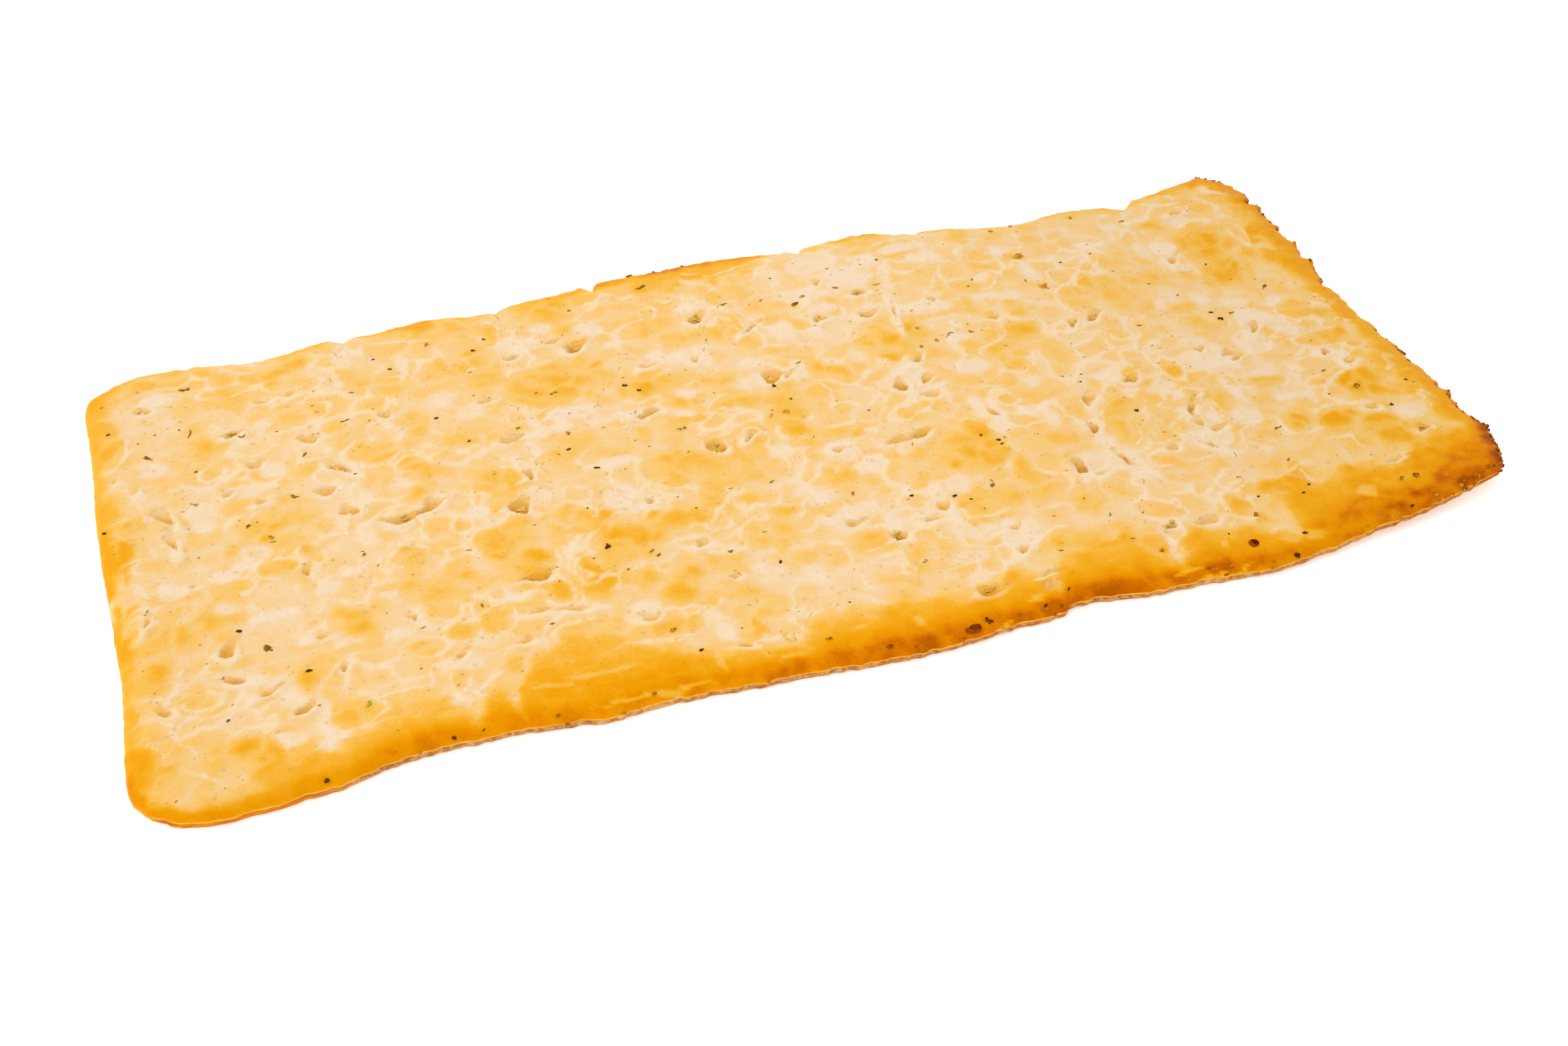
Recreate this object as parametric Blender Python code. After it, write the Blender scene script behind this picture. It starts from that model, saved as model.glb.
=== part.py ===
"""Cauliflower flatbread: a thin crisp sheet of baked dough, made as one solid.

The sheet lies flat with its length along X, its width along Y and its browned,
pitted face up. Its front right corner has curled a little off the surface that
it lies on. The origin is under the middle of the sheet, at the height of its
underside. Sizes are in millimetres, and turn to metres as the mesh is made.
"""
import math

import bpy
import numpy as np
from mathutils import Matrix, Vector
from mathutils.geometry import delaunay_2d_cdt

METRES_PER_MM = 0.001

# Driving dimensions, in millimetres
THICKNESS = 2.4            # of the sheet, away from its edge
LIP_HEIGHT = 1.25          # of the lip, where the rounded top face ends
ROUNDING = 3.6             # width of the band in which the top face rounds down to the lip
WALL_HEIGHT = 0.5          # of the step in the wall, under the lip
WALL_INSET = 0.15          # of that step, inside the lip
FOOT_INSET = 0.5           # of the foot of the wall, inside the lip
CURL = 2.1                 # how high the front right corner stands off the surface
CURL_HEADING = -42.0       # direction of that corner from the middle, in degrees
CURL_START = 54.0          # distance from the middle, that way, at which the curl starts
CURL_LENGTH = 30.0         # from there to the corner
SWELL = 0.12               # height of the slow swells of the top face
SWELL_SIZE = 13.0          # length of one swell
DIMPLE_DEPTH = 0.5         # of the dimples of the underside
DIMPLE_SIZE = 8.0          # length of one dimple
PIT_DEPTH_RATIO = 0.5      # depth of a pit over its width
PIT_DEPTH_MOST = 0.9       # no pit is deeper
PIT_FLOOR = 0.6            # part of a pit's half size that is floor
PIT_RIM = 1.2              # where a pit's wall meets the top face, over its half size
EDGE_STEP = 1.15           # spacing of the points along the edge
TOP_STEP = 2.65            # spacing of the points of the top face
UNDER_STEP = 6.5           # spacing of the points of the underside
SERRATION = 0.16           # how far the edge wanders from its smooth line
FLAKE_THICKNESS = 0.56     # of a flake of herb or pepper, half of it sunk in the crust
SMALL_FLAKES = 40          # flakes that are spread by rule between the named ones
SMALL_FLAKE_LENGTHS = (1.0, 1.35)
FLAKE_GAP = 7.0            # least distance between two of those flakes
SEED = 29

# The edge of the sheet seen from above, as (x, y) from the front left corner
# along the front, right, back and left sides. A smooth curve runs through them.
EDGE_POINTS = (
    (-81.1, -34.0), (-80.2, -37.1), (-77.7, -39.8), (-73.4, -41.1), (-65.3, -40.9),
    (-59.5, -40.2), (-55.0, -39.0), (-46.3, -38.3), (-37.2, -38.8), (-32.2, -39.4),
    (-19.2, -39.3), (-7.2, -40.0), (0.8, -40.5), (12.8, -39.8), (18.8, -39.1),
    (20.8, -38.0), (25.8, -38.7), (33.0, -39.3), (44.8, -39.8), (50.5, -39.3),
    (55.4, -38.5), (65.0, -36.9), (73.0, -35.4), (77.2, -33.8), (79.2, -31.5),
    (80.2, -28.4), (80.5, -22.0), (80.6, -10.0), (80.5, 0.0), (80.4, 7.5),
    (80.2, 11.5), (80.7, 16.0), (81.0, 24.0), (81.2, 31.0), (81.1, 36.0),
    (79.9, 39.0), (77.3, 41.5), (73.4, 41.0), (69.8, 40.2), (65.4, 39.1),
    (61.0, 38.5), (55.0, 39.2), (47.0, 38.4), (42.2, 38.8), (38.2, 40.1),
    (29.7, 41.4), (25.0, 42.9), (14.7, 41.8), (5.0, 42.6), (-1.0, 42.6),
    (-11.0, 42.2), (-21.5, 41.0), (-28.0, 39.8), (-37.0, 40.6), (-43.5, 39.7),
    (-49.0, 39.8), (-58.0, 38.2), (-66.0, 39.5), (-73.6, 39.1), (-77.4, 36.9),
    (-79.4, 33.7), (-79.8, 20.0), (-80.2, 12.0), (-80.3, 3.0), (-80.2, -10.0),
    (-80.2, -20.0), (-80.7, -27.0),
)

# Notches in the edge and crags on it: (x, y, width along the edge, depth).
# A crag is a notch of negative depth.
NOTCHES = (
    (62.6, 38.6, 4.5, 2.0), (-47.2, 39.8, 3.0, 1.5), (-13.7, 42.0, 2.4, 2.0),
    (15.4, 41.8, 2.4, 1.2), (-26.7, 39.8, 2.4, 0.6), (32.6, 41.0, 2.6, 0.7),
    (-66.7, 39.4, 2.4, 0.6), (81.1, 33.0, 2.4, 0.9), (80.3, 10.2, 3.0, 0.6),
    (20.4, -38.1, 2.6, 0.5), (-58.6, -40.0, 3.0, 0.4), (81.1, 31.4, 2.4, -0.7),
    (81.1, 25.9, 2.6, -0.7), (80.9, 21.0, 2.4, -0.7), (80.7, 16.3, 2.4, -0.5),
    (80.5, -18.0, 3.0, -0.5), (80.4, -26.0, 3.0, -0.6), (76.8, 41.5, 2.6, -0.4),
)

# Golden islands, which the oven blew up into low pillows: (x, y, half length
# along X, half width along Y, height)
ISLANDS = (
    (-24.5, 20.0, 7.0, 6.5, 0.30), (21.0, 16.0, 7.5, 7.0, 0.30),
    (69.0, 24.0, 6.0, 9.0, 0.30), (-35.0, -12.3, 5.5, 5.0, 0.25),
    (-22.5, -12.3, 6.0, 5.0, 0.25), (-72.0, -12.5, 6.0, 5.0, 0.25),
    (22.0, -5.0, 6.5, 6.5, 0.25), (-10.0, -3.0, 9.0, 7.0, 0.30),
    (-14.0, 15.0, 6.0, 5.0, 0.20), (-34.0, 24.0, 7.0, 5.0, 0.20),
    (-38.0, 11.0, 6.0, 5.0, 0.20), (-25.0, 7.0, 7.0, 5.0, 0.25),
    (32.0, 8.5, 7.0, 6.0, 0.20), (-66.0, 20.0, 7.0, 7.0, 0.20),
    (-60.0, 3.0, 7.0, 5.0, 0.20), (-47.0, -15.0, 6.0, 5.0, 0.20),
    (-61.0, -22.0, 5.0, 4.5, 0.15), (50.0, 20.0, 6.0, 7.0, 0.20),
    (51.0, -10.0, 4.0, 5.0, 0.20), (62.0, -15.0, 6.0, 5.0, 0.20),
    (-68.0, -33.0, 8.0, 5.0, 0.30), (-50.0, -32.0, 9.0, 4.5, 0.30),
    (-28.0, -30.0, 11.0, 5.5, 0.30), (10.0, -29.0, 12.0, 4.5, 0.25),
    (36.0, -33.0, 9.0, 4.0, 0.30), (60.0, -28.0, 12.0, 6.0, 0.30),
    (-55.0, 33.0, 8.0, 4.5, 0.20), (-30.0, 34.0, 8.0, 4.0, 0.20),
    (0.0, 35.0, 11.0, 4.5, 0.25), (30.0, 33.0, 9.0, 5.0, 0.20),
    (72.0, -8.0, 6.0, 6.0, 0.20), (48.0, 3.0, 6.0, 5.0, 0.15),
    (2.0, 22.0, 6.0, 7.0, 0.20), (10.0, -13.0, 7.0, 6.0, 0.20),
)

# Pits where bubbles of steam broke: (x, y, length, width, turn in degrees)
PITS = (
    (-54.5, 18.7, 2.6, 1.5, -25), (-61.3, 15.5, 1.9, 1.8, 0), (-52.3, 12.3, 4.2, 1.7, -55),
    (-72.8, 9.0, 4.2, 1.5, -70), (-72.5, 4.0, 3.6, 1.1, -85), (-52.4, 3.2, 2.4, 2.2, 0),
    (-45.5, 0.3, 6.0, 1.8, 12), (-18.8, 28.0, 3.8, 1.8, 20), (-2.2, 29.2, 2.8, 2.1, 35),
    (-14.0, 10.6, 2.6, 1.5, 0), (-31.3, 10.8, 2.8, 1.9, 0), (-8.3, 1.5, 2.6, 2.4, 0),
    (-33.3, -2.6, 2.7, 2.4, 30), (-34.6, -15.8, 3.9, 1.6, 0), (4.2, 25.0, 3.3, 1.3, 45),
    (19.4, 22.8, 2.4, 1.3, 30), (2.8, 13.2, 3.0, 2.6, 0), (17.4, 6.6, 2.8, 1.8, 60),
    (21.0, 6.8, 3.0, 1.4, 40), (20.2, 3.5, 2.6, 1.4, 0), (47.2, 13.2, 3.4, 1.4, 35),
    (63.0, 22.3, 2.8, 1.3, 50), (65.9, 4.2, 2.8, 1.4, 45), (-68.4, -16.8, 4.0, 2.0, 65),
    (-69.1, -22.0, 3.0, 1.2, -35), (-58.6, -6.3, 2.4, 1.2, 90), (14.5, -4.4, 6.5, 1.8, 5),
    (25.7, -2.5, 3.2, 1.1, -75), (38.5, -3.8, 3.0, 1.2, 75), (2.5, -17.8, 2.8, 1.5, 0),
    (13.3, -18.2, 2.8, 1.1, 50), (31.3, -16.3, 2.8, 1.8, 80), (36.8, -16.3, 5.5, 1.1, -75),
    (12.3, -34.0, 4.0, 1.4, 10), (40.8, -30.7, 2.4, 1.7, 0), (50.3, -8.4, 4.2, 1.2, 60),
    (49.0, -13.2, 3.6, 1.2, -70), (-24.4, -26.2, 2.2, 1.3, 0), (-34.0, -22.0, 6.0, 1.1, -8),
    (34.3, 16.6, 1.8, 1.1, 0), (69.2, 33.3, 2.2, 1.3, 0), (-15.3, -16.0, 1.8, 1.4, 0),
)

# The largest flakes of herb and pepper: (x, y, length, turn in degrees)
FLAKES = (
    (-69.0, 13.5, 1.6, -50), (-7.1, 38.0, 2.0, 10), (-67.5, 34.0, 2.0, -25),
    (-73.2, 20.8, 1.8, -55), (-57.8, 8.2, 1.6, 60), (-64.5, -18.6, 2.2, -55),
    (2.0, 31.0, 1.4, 20), (-24.1, 18.2, 1.3, 0), (-11.1, 6.0, 1.5, 30),
    (-56.1, -30.4, 1.6, 60), (20.1, -16.3, 1.9, 85), (71.5, 11.8, 2.0, 50),
    (64.5, 7.8, 1.3, 20), (27.6, 14.8, 1.3, -20), (75.4, -31.6, 1.8, 0),
    (57.0, -17.9, 1.6, 30), (70.2, -13.6, 1.4, 35), (-31.6, 31.8, 1.2, 70),
    (43.2, 29.2, 1.8, 0), (43.6, 21.3, 1.5, 0), (-26.5, -13.3, 1.3, 0),
    (-8.0, -23.0, 1.5, 40), (62.2, 7.4, 1.2, -10), (-12.7, -36.0, 1.4, 0),
    (43.8, -35.6, 1.6, 90), (8.2, -38.2, 1.8, 5), (24.3, -8.9, 1.3, 80),
    (54.4, -29.3, 1.3, 45), (-44.0, 32.0, 1.2, 60), (47.4, -1.0, 1.4, -30),
)
FLAKE_WIDTH_RATIO = 0.55   # width of a flake over its length


def clear_scene():
    for thing in list(bpy.data.objects):
        bpy.data.objects.remove(thing, do_unlink=True)


def swells(x, y, size, seed):
    """Slow random field from -1 to 1. Random values sit on a square lattice of
    the given cell size, and a smoothstep blends each point's four neighbours."""
    count = 64
    lattice = np.random.default_rng(seed).uniform(-1.0, 1.0, (count, count))
    across = x / size + count / 2
    along = y / size + count / 2
    column = np.floor(across).astype(int)
    row = np.floor(along).astype(int)
    blend_x = across - column
    blend_x = blend_x * blend_x * (3.0 - 2.0 * blend_x)
    blend_y = along - row
    blend_y = blend_y * blend_y * (3.0 - 2.0 * blend_y)
    column, row = column % (count - 1), row % (count - 1)
    near = lattice[column, row] * (1.0 - blend_x) + lattice[column + 1, row] * blend_x
    far = lattice[column, row + 1] * (1.0 - blend_x) + lattice[column + 1, row + 1] * blend_x
    return near * (1.0 - blend_y) + far * blend_y


def smooth_loop(points, step):
    """Closed Catmull-Rom curve through the points, as points a step apart."""
    p1 = np.array(points, float)
    p0, p2, p3 = np.roll(p1, 1, 0), np.roll(p1, -1, 0), np.roll(p1, -2, 0)
    t = np.linspace(0.0, 1.0, 24, endpoint=False)[None, :, None]
    curve = 0.5 * (2.0 * p1[:, None] + (p2 - p0)[:, None] * t
                   + (2.0 * p0 - 5.0 * p1 + 4.0 * p2 - p3)[:, None] * t ** 2
                   + (3.0 * p1 - p0 - 3.0 * p2 + p3)[:, None] * t ** 3)
    curve = curve.reshape(-1, 2)
    return resample(curve, step)


def resample(loop, step):
    """The same closed loop, with its points evenly spaced about a step apart."""
    closed = np.vstack([loop, loop[:1]])
    run = np.concatenate([[0.0], np.cumsum(np.hypot(*np.diff(closed, axis=0).T))])
    places = np.linspace(0.0, run[-1], int(round(run[-1] / step)), endpoint=False)
    return np.stack([np.interp(places, run, closed[:, axis]) for axis in (0, 1)], -1)


def outward(loop):
    """Unit normals of a counterclockwise loop, pointing away from its inside."""
    along = np.roll(loop, -1, 0) - np.roll(loop, 1, 0)
    along /= np.hypot(along[:, 0], along[:, 1])[:, None]
    return np.stack([along[:, 1], -along[:, 0]], -1)


def sheet_edge():
    """The lip seen from above: the smooth edge, moved along its normal by the
    notches, the crags and a fine random serration."""
    loop = smooth_loop(EDGE_POINTS, EDGE_STEP)
    out = np.random.default_rng(SEED).uniform(-SERRATION, SERRATION, len(loop))
    for x, y, width, depth in NOTCHES:
        away = np.hypot(loop[:, 0] - x, loop[:, 1] - y) / (0.5 * width)
        out -= depth * np.clip(1.0 - away, 0.0, 1.0)
    return loop + outward(loop) * out[:, None]


def inset(loop, distance):
    """The loop moved inwards by a distance, along its smoothed normals."""
    normals = outward(loop)
    for _ in range(3):
        normals = normals + np.roll(normals, 1, 0) + np.roll(normals, -1, 0)
        normals /= np.hypot(normals[:, 0], normals[:, 1])[:, None]
    return loop - normals * distance


def distance_to(loop, x, y):
    """Distance from each place (x, y) to the nearest side of a closed loop."""
    start, side = loop, np.roll(loop, -1, 0) - loop
    from_x = x[:, None] - start[None, :, 0]
    from_y = y[:, None] - start[None, :, 1]
    length = (side ** 2).sum(1)
    part = np.clip((from_x * side[:, 0] + from_y * side[:, 1]) / length, 0.0, 1.0)
    return np.hypot(from_x - part * side[:, 0], from_y - part * side[:, 1]).min(1)


def is_inside(loop, x, y):
    """Whether each place lies inside a closed loop: a ray crosses it an odd
    number of times."""
    here, after = loop, np.roll(loop, -1, 0)
    spans = (here[None, :, 1] > y[:, None]) != (after[None, :, 1] > y[:, None])
    rise = np.where(after[:, 1] == here[:, 1], 1.0, after[:, 1] - here[:, 1])
    meets = here[:, 0] + (y[:, None] - here[:, 1]) * (after[:, 0] - here[:, 0]) / rise
    return (spans & (meets > x[:, None])).sum(1) % 2 == 1


def curl(x, y):
    """Height of the underside over the surface: zero, rising to the corner."""
    heading = math.radians(CURL_HEADING)
    reach = x * math.cos(heading) + y * math.sin(heading)
    return CURL * np.clip((reach - CURL_START) / CURL_LENGTH, 0.0, 1.2) ** 1.5


def pit_distance(x, y, pit):
    """Distance from a pit's centre over its half size, along its own axes."""
    pit_x, pit_y, length, width, turn = pit
    turn = math.radians(turn)
    along = (x - pit_x) * math.cos(turn) + (y - pit_y) * math.sin(turn)
    across = (y - pit_y) * math.cos(turn) - (x - pit_x) * math.sin(turn)
    return np.hypot(along / (0.5 * length), across / (0.5 * width))


def top_height(x, y, edge):
    """Height of the top face: the sheet, rounded down to the lip in a quarter
    ellipse, with swells and the islands' pillows, less the pits."""
    inward = np.clip(distance_to(edge, x, y) / ROUNDING, 0.0, 1.0)
    rise = np.sqrt(1.0 - (1.0 - inward) ** 2)
    relief = SWELL * swells(x, y, SWELL_SIZE, SEED)
    pillow = np.zeros_like(x)
    for island_x, island_y, half_length, half_width, height in ISLANDS:
        away = np.hypot((x - island_x) / half_length, (y - island_y) / half_width)
        pillow = np.maximum(pillow, height * np.clip(1.0 - away ** 2, 0.0, 1.0))
    for pit in PITS:
        wall = np.clip((PIT_RIM - pit_distance(x, y, pit)) / (PIT_RIM - PIT_FLOOR), 0.0, 1.0)
        relief -= min(PIT_DEPTH_RATIO * pit[3], PIT_DEPTH_MOST) * wall
    thickness = LIP_HEIGHT + (THICKNESS - LIP_HEIGHT) * rise
    return curl(x, y) + thickness + (pillow + relief) * inward


def underside_height(x, y):
    """Height of the underside: flat, with shallow dimples, and the curl."""
    dimples = np.clip(swells(x, y, DIMPLE_SIZE, SEED + 1) - 0.25, 0.0, 1.0)
    return curl(x, y) + DIMPLE_DEPTH * dimples


def lattice_points(edge, step, clearance, seed):
    """Triangular lattice of places inside the edge, each moved a little."""
    rows = int(2.0 * abs(edge[:, 1]).max() / (step * math.sqrt(0.75))) + 2
    columns = int(2.0 * abs(edge[:, 0]).max() / step) + 2
    column, row = np.meshgrid(np.arange(columns), np.arange(rows))
    x = (column - columns / 2 + 0.5 * (row % 2)).ravel() * step
    y = (row - rows / 2).ravel() * step * math.sqrt(0.75)
    shift = np.random.default_rng(seed).uniform(-0.16, 0.16, (2, x.size)) * step
    x, y = x + shift[0], y + shift[1]
    keep = is_inside(edge, x, y) & (distance_to(edge, x, y) > clearance)
    return np.stack([x[keep], y[keep]], -1)


def pit_points(pit):
    """Places that give a pit its shape: one in the middle of the floor, then
    a ring round the floor and a ring round the rim."""
    pit_x, pit_y, length, width, turn = pit
    turn = math.radians(turn)
    places = [(pit_x, pit_y)]
    for reach, count in ((PIT_FLOOR, 6), (PIT_RIM, 8)):
        for angle in np.arange(count) * 2.0 * math.pi / count:
            along = reach * 0.5 * length * math.cos(angle)
            across = reach * 0.5 * width * math.sin(angle)
            places.append((pit_x + along * math.cos(turn) - across * math.sin(turn),
                           pit_y + along * math.sin(turn) + across * math.cos(turn)))
    return np.array(places)


def top_places(edge):
    """Places of the top face inside its edge: two rings of points along the
    rounded rim, the pits' points, and a lattice between."""
    close_rim = resample(inset(edge, 0.15 * ROUNDING), 1.5 * EDGE_STEP)
    wide_rim = resample(inset(edge, 0.5 * ROUNDING), 2.2 * EDGE_STEP)
    lattice = lattice_points(edge, TOP_STEP, 0.85 * ROUNDING, SEED + 2)
    pits = []
    for pit in PITS:
        lattice = lattice[pit_distance(lattice[:, 0], lattice[:, 1], pit) > 1.75]
        points = pit_points(pit)
        taken = np.vstack(pits) if pits else np.full((1, 2), 1.0e3)
        gaps = np.hypot(*(points[:, None] - taken[None]).transpose(2, 0, 1)).min(1)
        pits.append(points[gaps > 0.6])
    places = np.vstack([wide_rim, lattice] + pits)
    keep = distance_to(edge, places[:, 0], places[:, 1]) > 0.36 * ROUNDING
    return np.vstack([close_rim, places[keep]])


def triangles_inside(edge, places):
    """Delaunay triangles of the edge and the places inside it, facing up. The
    edge's points come first, in their order."""
    points = [Vector(point) for point in np.vstack([edge, places]).tolist()]
    sides = [(i, (i + 1) % len(edge)) for i in range(len(edge))]
    inside_only = 1
    result = delaunay_2d_cdt(points, sides, [], inside_only, 1.0e-6)
    return np.array([tuple(vertex) for vertex in result[0]]), result[2]


def sheet_mesh(edge):
    """One closed mesh: the top face, the wall in two steps, the underside."""
    step = inset(edge, WALL_INSET)
    foot = inset(edge, FOOT_INSET)
    top, top_faces = triangles_inside(edge, top_places(edge))
    under_lattice = lattice_points(foot, UNDER_STEP, 0.5 * UNDER_STEP, SEED + 3)
    under, under_faces = triangles_inside(foot, under_lattice)
    count = len(edge)
    heights = [top_height(top[:, 0], top[:, 1], edge),
               curl(edge[:, 0], edge[:, 1]) + WALL_HEIGHT,
               underside_height(under[:, 0], under[:, 1])]
    heights[2][:count] = curl(foot[:, 0], foot[:, 1])
    plan = np.vstack([top, step, under])
    vertices = np.column_stack([plan, np.concatenate(heights)]) * METRES_PER_MM
    step_start, under_start = len(top), len(top) + count
    faces = [tuple(face) for face in top_faces]
    faces += [tuple(under_start + i for i in reversed(face)) for face in under_faces]
    for i in range(count):
        after = (i + 1) % count
        faces.append((step_start + i, step_start + after, after, i))
        faces.append((under_start + i, under_start + after, step_start + after, step_start + i))
    mesh = bpy.data.meshes.new("flatbread")
    mesh.from_pydata(vertices.tolist(), [], faces)
    mesh.validate()
    return mesh


def flake_places():
    """The named flakes, then small ones at random places that keep clear of
    the pits, the edge and each other."""
    chosen = [list(flake) for flake in FLAKES]
    rng = np.random.default_rng(SEED + 4)
    while len(chosen) < len(FLAKES) + SMALL_FLAKES:
        x, y = rng.uniform(-76.0, 76.0), rng.uniform(-33.0, 36.0)
        length, turn = rng.uniform(*SMALL_FLAKE_LENGTHS), rng.uniform(0.0, 180.0)
        in_pit = min(float(pit_distance(x, y, pit)) for pit in PITS) < 2.0
        near = min(math.hypot(x - other[0], y - other[1]) for other in chosen) < FLAKE_GAP
        if not in_pit and not near:
            chosen.append([x, y, length, turn])
    return np.array(chosen)


def flake_mesh(x, y, z, length, turn):
    """A six-sided chip with a blunt rim, pointed above and below."""
    turn = math.radians(turn)
    around = np.arange(6) * math.pi / 3.0
    width = length * FLAKE_WIDTH_RATIO
    rings = []
    for height, reach in ((-0.2, 0.9), (0.25, 0.8)):
        along = reach * 0.5 * length * np.cos(around)
        across = reach * 0.5 * width * np.sin(around)
        rings.append(np.stack([x + along * math.cos(turn) - across * math.sin(turn),
                               y + along * math.sin(turn) + across * math.cos(turn),
                               np.full(6, z + height * FLAKE_THICKNESS)], -1))
    tips = [(x, y, z - 0.5 * FLAKE_THICKNESS), (x, y, z + 0.5 * FLAKE_THICKNESS)]
    vertices = np.vstack([tips] + rings) * METRES_PER_MM
    faces = []
    for i in range(6):
        after = (i + 1) % 6
        faces += [(0, 2 + after, 2 + i), (2 + i, 2 + after, 8 + after, 8 + i), (8 + i, 8 + after, 1)]
    mesh = bpy.data.meshes.new("flake")
    mesh.from_pydata(vertices.tolist(), [], faces)
    return mesh


def fuse_flakes(bread, edge):
    """Join the flakes to the sheet by one union, and keep only the result."""
    flakes = bpy.data.collections.new("flakes")
    bpy.context.scene.collection.children.link(flakes)
    places = flake_places()
    heights = top_height(places[:, 0], places[:, 1], edge)
    for (x, y, length, turn), z in zip(places.tolist(), heights.tolist()):
        flakes.objects.link(bpy.data.objects.new("flake", flake_mesh(x, y, z, length, turn)))
    union = bread.modifiers.new("flakes", "BOOLEAN")
    union.operation = "UNION"
    union.operand_type = "COLLECTION"
    union.collection = flakes
    union.solver = "EXACT"
    bpy.context.view_layer.update()
    evaluated = bread.evaluated_get(bpy.context.evaluated_depsgraph_get())
    fused = bpy.data.meshes.new_from_object(evaluated)
    bread.modifiers.remove(union)
    bread.data = fused
    for flake in list(flakes.objects):
        bpy.data.objects.remove(flake, do_unlink=True)
    bpy.data.collections.remove(flakes)


def baked_dough():
    """Pale golden, nearly matt crust of baked dough."""
    material = bpy.data.materials.new("baked_dough")
    material.use_nodes = True
    shader = material.node_tree.nodes["Principled BSDF"]
    shader.inputs["Base Color"].default_value = (0.93, 0.66, 0.33, 1.0)
    shader.inputs["Roughness"].default_value = 0.5
    shader.inputs["Metallic"].default_value = 0.0
    return material


def make_flatbread():
    edge = sheet_edge()
    bread = bpy.data.objects.new("flatbread", sheet_mesh(edge))
    bpy.context.scene.collection.objects.link(bread)
    fuse_flakes(bread, edge)
    bread.data.materials.clear()
    bread.data.materials.append(baked_dough())
    bread.data.shade_flat()
    centre_on_origin(bread.data)
    return bread


def centre_on_origin(mesh):
    """Move the mesh so that the middle of its outline lies over the origin."""
    places = np.array([vertex.co for vertex in mesh.vertices])
    middle = 0.5 * (places.min(0) + places.max(0))
    mesh.transform(Matrix.Translation((-middle[0], -middle[1], 0.0)))


clear_scene()
make_flatbread()
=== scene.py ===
"""Looks of the cauliflower flatbread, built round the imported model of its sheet.

One thin sheet of dough, with cauliflower and dried herbs in it, baked until it is
crisp. Tables are in millimetres on the sheet's own axes: X runs along it, Y across
it and Z up. Meshes are in metres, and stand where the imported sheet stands.
"""
import math

import bpy
import numpy as np
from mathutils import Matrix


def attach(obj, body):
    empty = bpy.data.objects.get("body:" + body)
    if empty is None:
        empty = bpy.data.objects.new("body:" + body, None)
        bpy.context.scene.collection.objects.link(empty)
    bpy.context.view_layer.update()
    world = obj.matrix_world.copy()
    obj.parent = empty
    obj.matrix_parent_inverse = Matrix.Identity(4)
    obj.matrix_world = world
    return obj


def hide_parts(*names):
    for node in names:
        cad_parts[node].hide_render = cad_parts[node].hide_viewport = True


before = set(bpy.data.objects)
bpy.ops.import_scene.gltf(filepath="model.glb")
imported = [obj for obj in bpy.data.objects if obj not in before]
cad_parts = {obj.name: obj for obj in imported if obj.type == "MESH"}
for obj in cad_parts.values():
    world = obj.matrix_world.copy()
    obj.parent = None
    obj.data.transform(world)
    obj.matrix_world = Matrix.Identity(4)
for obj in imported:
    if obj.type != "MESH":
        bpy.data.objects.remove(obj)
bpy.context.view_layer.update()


# ---------------------------------------------------------------------------
# The camera: a 50 mm lens on a 36 mm wide sensor, held 25 cm from the sheet, left
# of its front and looking down on it. The places in the tables below were measured
# where sight lines from here meet a level plane, so the camera comes first.
MM = 0.001
MIDDLE = np.array([0.279, 0.808])      # middle of the sheet's outline, in the tables' axes
EYE = np.array([-68.86, -201.32, 156.79])
AIM = np.array([-4.577, -13.069, 0.0])
MEASURED_AT = 2.0                      # height of that level plane


def in_metres(x, y, z):
    """Points (x - middle, y - middle, z), turned from millimetres to metres."""
    return np.stack([x - MIDDLE[0], y - MIDDLE[1], z], -1) * MM


camera_data = bpy.data.cameras.new("camera")
camera_data.lens = 50.0
camera_data.sensor_width = 36.0
camera_data.clip_start = 0.01
camera_data.clip_end = 20.0
camera = bpy.data.objects.new("camera", camera_data)
bpy.context.scene.collection.objects.link(camera)
eye, aim = in_metres(*EYE), in_metres(*AIM)
camera.location = eye
sight = aim - eye
camera.rotation_euler = (math.atan2(math.hypot(sight[0], sight[1]), -sight[2]), 0.0,
                         math.atan2(-sight[0], sight[1]))
bpy.context.scene.camera = camera


# ---------------------------------------------------------------------------
# The sheet: dough pressed about 2.4 mm thick, cut to a rectangle with round corners
# and baked. Its rim rounds down to a lip, under which a rough wall of crumb shows,
# and its front right corner has curled up. One closed mesh stands for the node.
THICKNESS = 2.4
LIP_HEIGHT = 1.25
ROUNDING = 3.6                         # width of the band in which the top rounds down to the lip
CURL = 2.1                             # rise of the underside, one curl's length past its start
CURL_HEADING = math.radians(-42.0)     # the way from the middle to the curled corner
CURL_START = 54.0                      # how far that way the curl starts
CURL_LENGTH = 30.0
ALONG, ACROSS = 356, 172               # cells of the top face's grid
FRONT, RIGHT, BACK, LEFT = range(4)    # the outline's sides, anticlockwise
# How far each ring of the rim lies inward of the lip
RINGS = (0.0, 0.12, 0.28, 0.5, 0.78, 1.12, 1.5, 1.95, 2.45, 2.95, 3.45, 3.9)
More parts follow.
